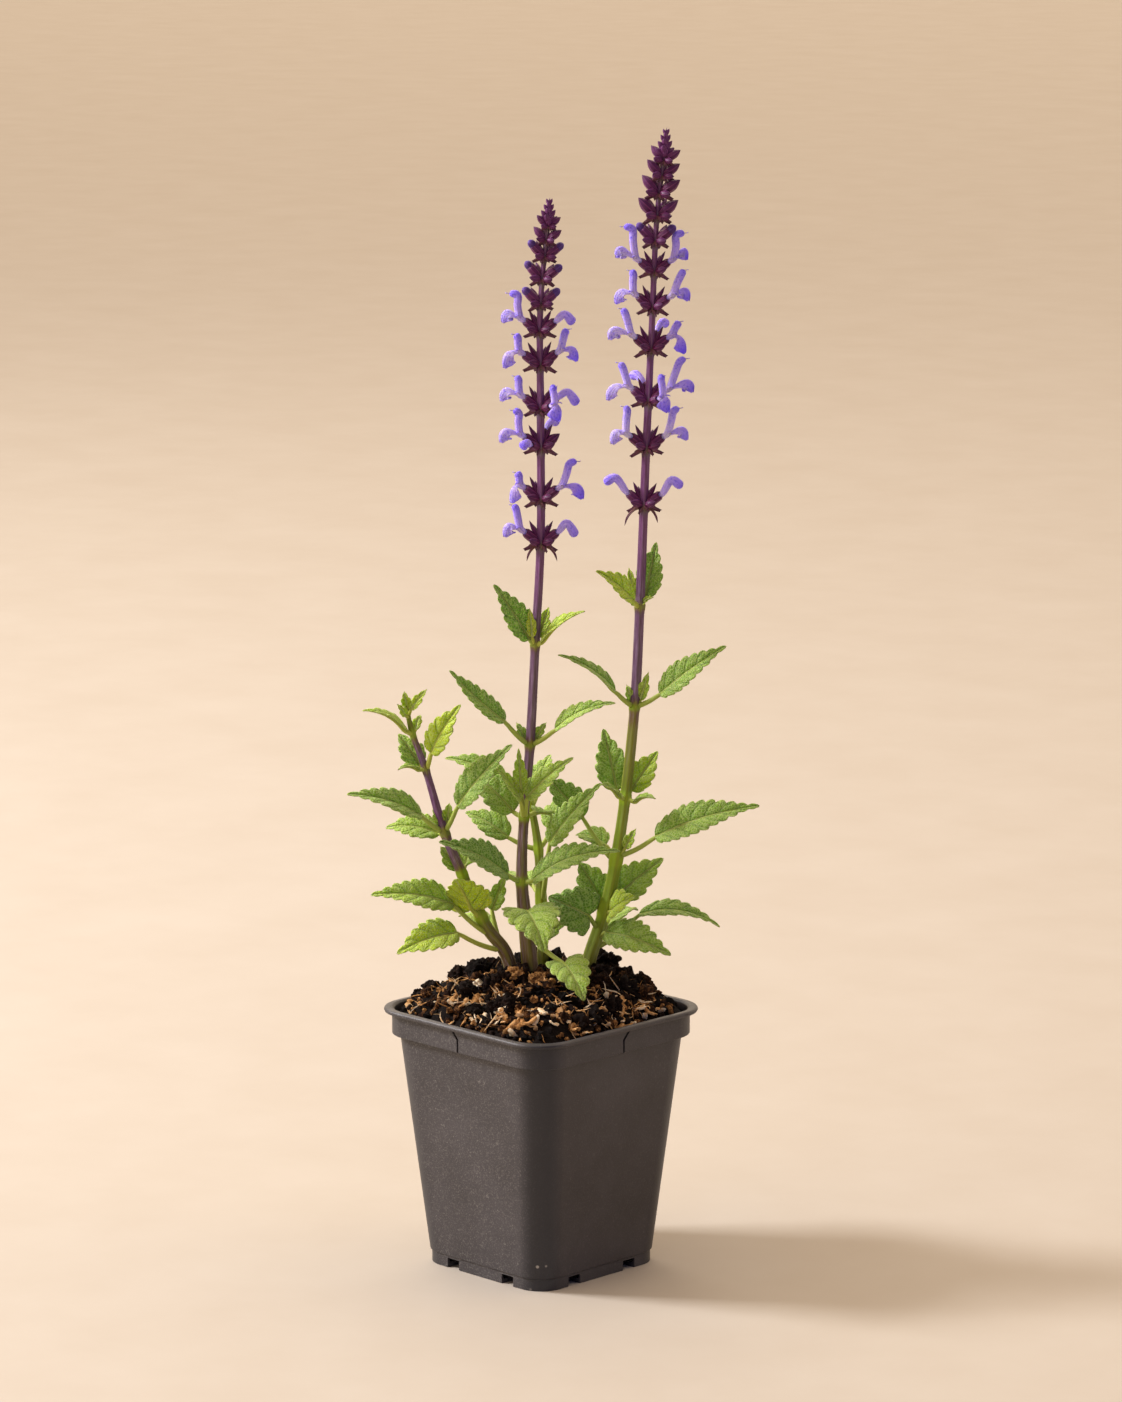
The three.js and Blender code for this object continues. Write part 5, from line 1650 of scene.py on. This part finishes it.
@dataclass
class Spike:
    """Calyces, buds and bracts of a flowering stem."""

    stem: Stem
    parts: SpikeParts
    bract: tuple[float, float, float] = (0.75, 2.1, 5.5)  # half width, bow and length
    inner_bud: tuple[float, float, float] = (63, 9.6, 0.85)  # rise, length and radius of those beside the stem
    tip_rings: int = 7

    def __post_init__(self) -> None:
        """Starts the spike's gathered copies and its run of random numbers."""
        self.dice = random.Random(len(self.stem.name))
        self.skin, self.violet, self.scales = Cluster(), Cluster(), Cluster()

    def calyces(self, whorl: Whorl) -> None:
        """Adds the calyces or buds of one whorl.

        Args:
            whorl: the whorl.
        """
        parts, flowered = self.parts, bool(whorl.flowers)
        seated = {flower.seat for flower in whorl.flowers}
        swollen = whorl.at in SWOLLEN[self.stem.name]
        for name in SEATS:
            beside, behind = name in ("left", "right"), name.endswith("Back")
            seat = Seat.of(self.stem, whorl, name, 0 if flowered else 5 if beside else -10)
            tone = self.dice.uniform(0, 0.25) + (0 if flowered else 0.15)
            pattern, radius, length = parts.bud, 1, 1.1 if beside else 0.95 if flowered else 0.85
            if name in seated:
                pattern, length = parts.calyx, 1
            elif behind:
                radius, length = 0.55, 1.02
            elif swollen and beside:
                pattern, length = parts.calyx, 0.94
                base = seat.foot + 0.36 * seat.length * seat.way
                self.violet.add(parts.violet, base, seat.axes(0.9 * seat.radius, 0.79 * seat.length), tone)
            elif not beside:
                radius = length
            self.skin.add(pattern, seat.foot, seat.axes(radius * seat.radius, length * seat.length), tone)
        if flowered:
            rise, length, radius = self.inner_bud
            for bearing in (8, 172):
                way = self.stem.lean_at(whorl.at) @ direction(bearing + whorl.turn, rise)
                inner = Seat(seat.node, way, way, seat.node, length * whorl.size, radius * whorl.size)
                self.skin.add(parts.bud, inner.foot, inner.axes(inner.radius, inner.length), self.dice.uniform(0, 0.2))

    def bracts(self, whorl: Whorl) -> None:
        """Adds the bracts under one whorl.

        Args:
            whorl: the whorl.
        """
        half, bow, length = self.bract
        foot = self.stem.point_at(whorl.at) - 0.5 * UP
        for bearing, share in ((0, 1), (180, 1), (-60, 0.7), (-120, 0.62), (60, 0.7), (120, 0.62)):
            drop = self.dice.uniform(-20, -6) if share == 1 else self.dice.uniform(-26, -4)
            long = length * whorl.size * share * (1 if whorl.flowers else 0.75)
            axes = axes_along(direction(bearing + whorl.turn, drop), half * whorl.size, bow * whorl.size, long)
            self.scales.add(self.parts.bract, foot, axes, 0.1)

    def tip(self) -> None:
        """Adds the closed tip: small pointed buds that shrink towards the top."""
        start_z, top, x = SPIKE_TIPS[self.stem.name]
        start = self.stem.point_at(start_z - 3)
        end = np.array([x, start[1], top])
        for ring in range(self.tip_rings):
            share = ring / (self.tip_rings - 1)
            node = start + (end - start) * (0.02 + 0.7 * share)
            length, radius = 5.0 - 2.2 * share, 1.15 - 0.6 * share
            for corner in range(4):
                opposite = corner % 2 == ring % 2
                way = direction(90 * corner + 14 * (-1) ** ring, (44 if opposite else 62) + 22 * share)
                axes = axes_along(way, radius, radius, length * (1 if opposite else 0.8))
                self.skin.add(self.parts.bud, node, axes, self.dice.uniform(0.3, 0.6) + 0.25 * share)
        along = unit(end - start)
        side = unit(np.cross(along, np.array([0, 1.0, 0])))
        axes = np.array([side * 0.6, np.cross(along, side) * 0.6, along * np.linalg.norm(end - start)])
        self.skin.add(self.parts.bud, start, axes, 0.5)

    def low_bracts(self) -> bpy.types.Object:
        """Models the long thin bracts that hang under the lowest whorl.

        Returns:
            The bracts.
        """
        node = self.stem.point_at(WHORLS[self.stem.name][0].at)
        shares = np.linspace(0, 1, 12)
        made = []
        for reach, drop in LOW_BRACTS[self.stem.name]:
            bends = np.array(
                [(0, 0, 0), (0.5 * reach, -1, 0.18 * drop), (0.85 * reach, -1.7, 0.55 * drop), (reach, -2, drop)], float
            )
            points, tangents = resample(smooth_path(node + bends, 8), shares)
            radii = np.interp(shares, (0, 0.3, 0.8, 1), (0.5, 0.55, 0.4, 0.05))
            made.append(weld(mark(sheet(tube_rings(points, tangents, radii, 6)), tone=0.1)))
        return join(made)

    def build(self) -> None:
        """Builds, dresses and hands over the spike."""
        name, brown = self.stem.name, BRACT.material()
        for whorl in WHORLS[name]:
            self.calyces(whorl)
            self.bracts(whorl)
        self.tip()
        skin = dress(self.skin.piece(f"calyces_{name}"), CALYX.material())
        scales = dress(self.scales.piece(f"bracts_{name}"), brown)
        for piece, kind, smooth in (
            (skin, "calyces", 180),
            (join([scales, dress(self.low_bracts(), brown)]), "bracts", 50),
            (dress(self.violet.piece(f"bud_ends_{name}"), BUD.material()), "bud_ends", 180),
        ):
            hand_over(piece, f"{kind}_{name}", [f"shoot_{name}"], smooth=smooth)


@dataclass
class Corolla:
    """One violet-blue flower, open with a sickle-shaped hood and a hanging lip, or closed and bent over."""

    stem: Stem
    whorl: Whorl
    flower: Flower
    seed: int
    # Shares of the way along a part of the tube, and the radii there: inside the calyx, then from mouth to tip.
    root_radii: tuple = ((0, 0.45, 1), (0.12, 0.85, 1.2))
    open_radii: tuple = ((0.1, 0.4, 0.7, 0.88, 0.95, 0.985, 1), (1.42, 1.46, 1.5, 1.5, 1.24, 0.74, 0.1))
    bent_radii: tuple = ((0.12, 0.4, 0.65, 0.84, 0.94, 0.985, 1), (1.4, 1.5, 1.75, 1.9, 1.55, 0.85, 0.1))
    rings: int = 34
    sides: int = 14
    roll: float = 36  # of the lip's lobe towards the front, in degrees
    throat_length: float = 1.2  # from the calyx's mouth to where the lips part
    ruffle: float = 0.22  # of the lip's margin
    lip_thickness: float = 0.3
    lobe_thickness: float = 0.25

    def __post_init__(self) -> None:
        """Lays out the flower's frame."""
        self.seat = Seat.of(self.stem, self.whorl, self.flower.seat)
        self.root = self.seat.foot + self.seat.way * (CALYX_HOLLOW * self.seat.length + 2 * CLEARANCE)
        self.mouth = self.seat.foot + self.seat.way * self.seat.length
        self.throat = self.mouth + self.seat.way * self.throat_length
        self.side = np.cross(UP, self.seat.out)

    def tube(self, path: list[np.ndarray], profile: tuple, flatness: float) -> bpy.types.Object:
        """Models a closed, smooth tube through points, the first two its root and the calyx's mouth.

        Args:
            path: the points.
            profile: shares of the way from the mouth to the tip, and the radii there.
            flatness: squeezes it sideways.

        Returns:
            The tube.
        """
        shares = 1 - np.cos(np.linspace(0, math.pi, self.rings)) * 0.5 - 0.5
        line = smooth_path(np.array(path))
        points, tangents = resample(line, shares)
        inside = np.linalg.norm(path[1] - path[0]) / np.linalg.norm(np.diff(line, axis=0), axis=1).sum()
        places = [inside * share for share in self.root_radii[0]]
        places += [inside + (1 - inside) * share for share in profile[0]]
        radii = np.interp(shares, places, self.root_radii[1] + profile[1])
        radii[1:-1] = (radii[:-2] + 2 * radii[1:-1] + radii[2:]) / 4
        outline = 1 + 0.05 * np.cos(2 * np.linspace(0, FULL_TURN, self.sides + 1))
        made = sheet(tube_rings(points, tangents, radii, self.sides, flatness, outline))
        return weld(mark(made, tone=self.flower.pale * np.repeat(np.clip(1.2 - shares, 0, 1), self.sides + 1)))

    def lip(self) -> bpy.types.Object:
        """Models the lower lip: a narrow neck, then a broad, notched, ruffled lobe that arches and hangs.

        Returns:
            The lip.
        """
        way = self.seat.reach(*self.flower.second) - self.throat
        line = [self.throat - self.seat.way]
        for share, rise in ((0.15, 1.0), (0.5, 3.0), (0.8, 3.3), (0.96, 2.2), (1.0, 0.2)):
            line.append(self.throat + way * share + UP * rise)
        v, u = np.linspace(0, 1, 19), np.linspace(1, -1, 13)
        centre, tangents = resample(smooth_path(np.array(line)), v)
        half = np.interp(v, (0, 0.2, 0.42, 0.62, 0.8, 0.93, 1), (0.8, 1.0, 2.1, 3.05, 3.2, 2.6, 1.3))
        half[1:-1] = (half[:-2] + half[1:-1] + half[2:]) / 3
        drop = np.interp(v, (0, 0.2, 0.5, 0.8, 1), (0.5, 1.0, 2.1, 3.4, 2.9))
        normals = unit(np.cross(tangents, self.side))
        lobes = 1.15 * np.exp(-(((np.abs(u) - 0.5) / 0.32) ** 2)) - 0.55 * np.exp(-((u / 0.18) ** 2))
        ruffle = np.sin(9 * u + self.seed)[None, :] * smoothstep(0.45, 1, v)[:, None] * self.ruffle
        ruffle = ruffle * (0.3 + u * u)[None, :]
        beside = self.flower.seat in ("left", "right")
        roll = (-np.sign(self.side[1]) * beside * math.radians(self.roll) * smoothstep(0.15, 0.6, v))[:, None]
        side = self.side * np.cos(roll) - normals * np.sin(roll)
        above = normals * np.cos(roll) + self.side * np.sin(roll)
        grid = (
            centre[:, None]
            + (half[:, None] * u[None, :])[..., None] * side[:, None]
            - (drop[:, None] * np.abs(u)[None, :] ** 1.7 + ruffle)[..., None] * above[:, None]
            + (lobes[None, :] * smoothstep(0.6, 1, v)[:, None])[..., None] * tangents[:, None]
        )
        # Painted light: lips on the left seats, which face the key light, are 0.3 paler in tone.
        made = mark(sheet(grid), tone=self.flower.pale * 0.35 + (0.3 if self.flower.seat == "left" else 0))
        for corner in made.data.uv_layers.active.data:
            corner.uv = (corner.uv[0], 0.35 + 0.65 * corner.uv[1])
        return modify(made, "SOLIDIFY", thickness=self.lip_thickness, offset=-1)

    def side_lobe(self, sign: float) -> bpy.types.Object:
        """Models one of the small lobes beside the lip's neck.

        Args:
            sign: 1 or -1, for its side.

        Returns:
            The lobe.
        """
        start = self.throat + self.side * 0.7 * sign
        end = start + self.side * 1.6 * sign + self.seat.out * 1.7 + UP * 0.5
        v = np.linspace(0, 1, 7)[:, None]
        centre = start * (1 - v) + end * v + UP * 0.8 * np.sin(math.pi * v)
        across = unit(np.cross(end - start, UP))
        half = (0.85 * np.sin(math.pi * (0.12 + 0.86 * v) ** 0.9)) * np.linspace(-sign, sign, 5)[None, :]
        grid = centre[:, None] + half[..., None] * across - (0.35 * half**2)[..., None] * UP
        made = mark(sheet(grid), tone=self.flower.pale * 0.3)
        return modify(made, "SOLIDIFY", thickness=self.lobe_thickness, offset=0)

    def style(self, tip: np.ndarray) -> bpy.types.Object:
        """Models the thin style that stands out of the hood, with its forked end.

        Args:
            tip: the hood's tip.

        Returns:
            The style.
        """
        out, made = self.seat.out, []
        for fork in (0.5, -0.35):
            path = [tip - out * 1.2, tip + out * 0.6 - UP * 0.1, tip + out * 1.6 + UP * (0.1 + 0.4 * fork)]
            points, tangents = resample(smooth_path(np.array(path), 6), np.linspace(0, 1, 6))
            radii = np.array([POINT_END, 0.16, 0.15, 0.14, 0.12, POINT_END])
            made.append(weld(mark(sheet(tube_rings(points, tangents, radii, 5)), tone=0.25)))
        return join(made)

    def build(self, petal: bpy.types.Material, node: str) -> None:
        """Builds, dresses and hands over the flower.

        Args:
            petal: its finish.
            node: the CAD node that it replaces.
        """
        first, second = self.seat.reach(*self.flower.first), self.seat.reach(*self.flower.second)
        if self.flower.form is Form.OPEN:
            out, hook = self.seat.out, self.flower.hook
            shin = (self.throat + first) / 2 - out * 0.033 * hook * np.linalg.norm(first - self.throat)
            bend = first - out * hook + UP * (hook / 3 - 1.8)
            path = [self.root, self.mouth, self.throat, shin, bend, first]
            made = [self.tube(path, self.open_radii, 0.85), self.lip(), self.side_lobe(1), self.side_lobe(-1),
                    self.style(first)]
        else:
            made = [self.tube([self.root, self.mouth, first, second], self.bent_radii, 0.9)]
        hand_over(dress(join(made), petal), node.replace("corolla", "flower"), [node])


# --- Shoots ---


@dataclass
class Shoot:
    """A stem with its leaves and, where it flowers, its spike and corollas."""

    name: str
    hairs_per_mm: int = 5
    hair: float = 0.07  # its radius
    collar_width: float = 9  # leaves at least this wide, and above the foot, have a collar
    collar_foot: float = 130

    def __post_init__(self) -> None:
        """Lays the stem."""
        self.stem = Stem(self.name)

    def down(self, parts: SpikeParts) -> bpy.types.Object:
        """Scatters fine hairs on the stem.

        Args:
            parts: the patterns, a hair among them.

        Returns:
            The hairs.
        """
        dice, hairs = random.Random(31), Cluster()
        low, high = self.stem.rows[0][2] + 12, self.stem.rows[-1][2] - 3
        for _ in range(int((high - low) * self.hairs_per_mm)):
            z = dice.uniform(low, high)
            out = direction(dice.uniform(0, 360), dice.uniform(-25, 10))
            foot = self.stem.point_at(z) + out * self.stem.radius_at(z) * 0.9
            hairs.add(parts.hair, foot, axes_along(out, self.hair, self.hair, dice.uniform(0.5, 0.9)), 0.6)
        return hairs.piece("hairs")

    def build(self, parts: SpikeParts) -> None:
        """Builds, dresses and hands over the shoot's pieces.

        Args:
            parts: the patterns that hairs and spikes repeat.
        """
        leaves, node = [Leaf(*row) for row in LEAVES[self.name]], [f"shoot_{self.name}"]
        joints = {leaf.at for leaf in leaves if leaf.width >= self.collar_width and leaf.at > self.collar_foot}
        whorls, skin = WHORLS.get(self.name, []), STEM.material()
        stem = self.stem.build(sorted(joints) + [whorl.at - 0.8 for whorl in whorls])
        hand_over(join([dress(stem, skin), dress(self.down(parts), skin)]), f"stem_{self.name}", node)
        makers = [LeafMaker(self.stem, leaf, seed) for seed, leaf in enumerate(leaves)]
        blades = join([maker.blade() for maker in makers])
        modify(blades, "SOLIDIFY", thickness=makers[0].thickness, offset=-1, material_offset=1)
        dress(blades, BLADE.material(), UNDERSIDE.material())
        stalks = dress(join([maker.stalk() for maker in makers]), STALK.material())
        hand_over(join([blades, stalks]), f"leaves_{self.name}", node)
        if whorls:
            Spike(self.stem, parts).build()
            petal = PETAL.material()
            for row, whorl in enumerate(whorls, 1):
                for flower in whorl.flowers:
                    Corolla(self.stem, whorl, flower, row).build(petal, f"corolla_{self.name}_{row}_{flower.seat}")


# --- Studio ---


@dataclass(frozen=True)
class Lamp:
    """A square soft light: its place and what it looks at in metres in the plant's axes, size, power and colour."""

    name: str
    place: tuple[float, float, float]
    size: float
    power: float
    colour: str
    at: tuple[float, float, float] = (0, 0, 0.18)

    def hang(self) -> None:
        """Hangs the light and turns it towards what it looks at."""
        data = bpy.data.lights.new(self.name, "AREA")
        data.size, data.energy, data.color = self.size, self.power, linear(self.colour)[:3]
        lamp = bpy.data.objects.new(self.name, data)
        bpy.context.scene.collection.objects.link(lamp)
        turn = Matrix.Rotation(PLANT_TURN, 3, "Z")
        lamp.location = turn @ Vector(self.place)
        lamp.rotation_euler = (turn @ Vector(self.at) - lamp.location).to_track_quat("-Z", "Y").to_euler()


@dataclass
class Studio:
    """A plain pale floor, warm surroundings, a soft key light from the left, a rim and a far light, and the camera."""

    floor_side: float = 30.0
    lens: float = 143.97
    sensor: float = 36
    place: tuple[float, float, float] = (1.4194, -1.4090, 0.606)
    pitch: float = 11.17
    heading: float = 45
    viewer: tuple[float, float, float] = (0.35, -1, 0)  # the side of the surroundings that is dim, in the plant's axes
    glow: tuple[float, float] = (1.22, 0.25)  # strength of the surroundings, away from the viewer's side and on it
    warm: str = "#ffe6c8"
    cool: str = "#a6b8ff"
    lamps: tuple[Lamp, ...] = (
        Lamp("key_light", (-1.95, 0.28, 1.5), 0.55, 75, "#fbfbff"),
        Lamp("rim_light", (-0.7, 1.8, 1.5), 1.0, 5.5, "#fff6ea"),
        Lamp("far_light", (0, 8.5, 4.0), 9.0, 165, "#fff2e0", (0, 8.5, 0)),
    )

    def world(self) -> bpy.types.World:
        """Makes pale warm surroundings, dimmer and cooler on the viewer's side.

        Returns:
            The world.
        """
        world = bpy.data.worlds.new("studio")
        world.use_nodes = True
        world.node_tree.nodes.clear()
        add = partial(add_node, world.node_tree)
        viewer = (*(Matrix.Rotation(PLANT_TURN, 3, "Z") @ Vector(self.viewer)).normalized(),)
        facing = add("VectorMath", (add("TexCoord", out="Generated"), viewer), "Value", operation="DOT_PRODUCT")
        strength = add("MapRange", (facing, 0.2, 0.95, *self.glow))
        share = add("MapRange", (facing, 0.3, 0.95))
        colour = add("Mix", {0: share, 6: linear(self.warm), 7: linear(self.cool)}, 2)
        add("OutputWorld", {"Surface": add("Background", {"Color": colour, "Strength": strength})})
        return world

    def build(self) -> None:
        """Lays the floor and sets up the lights and the camera."""
        floor = started(bpy.ops.mesh.primitive_plane_add, size=self.floor_side)
        floor.name = "floor"
        dress(floor, FLOOR.material())
        for lamp in self.lamps:
            lamp.hang()
        bpy.context.scene.world = self.world()
        data = bpy.data.cameras.new("camera")
        data.lens, data.sensor_width = self.lens, self.sensor
        camera = bpy.data.objects.new("camera", data)
        bpy.context.scene.collection.objects.link(camera)
        camera.location = self.place
        camera.rotation_euler = (math.radians(90 - self.pitch), 0, math.radians(self.heading))
        bpy.context.scene.camera = camera
        bpy.context.scene.view_settings.view_transform = "Standard"


def main() -> None:
    """Builds the object piece by piece."""
    logging.basicConfig(level=logging.INFO, format="%(message)s", stream=sys.stdout)
    Studio().build()
    Pot().build()
    Soil().build()
    parts = SpikeParts()
    for name in STEMS:
        Shoot(name).build(parts)


if __name__ == "__main__":
    main()
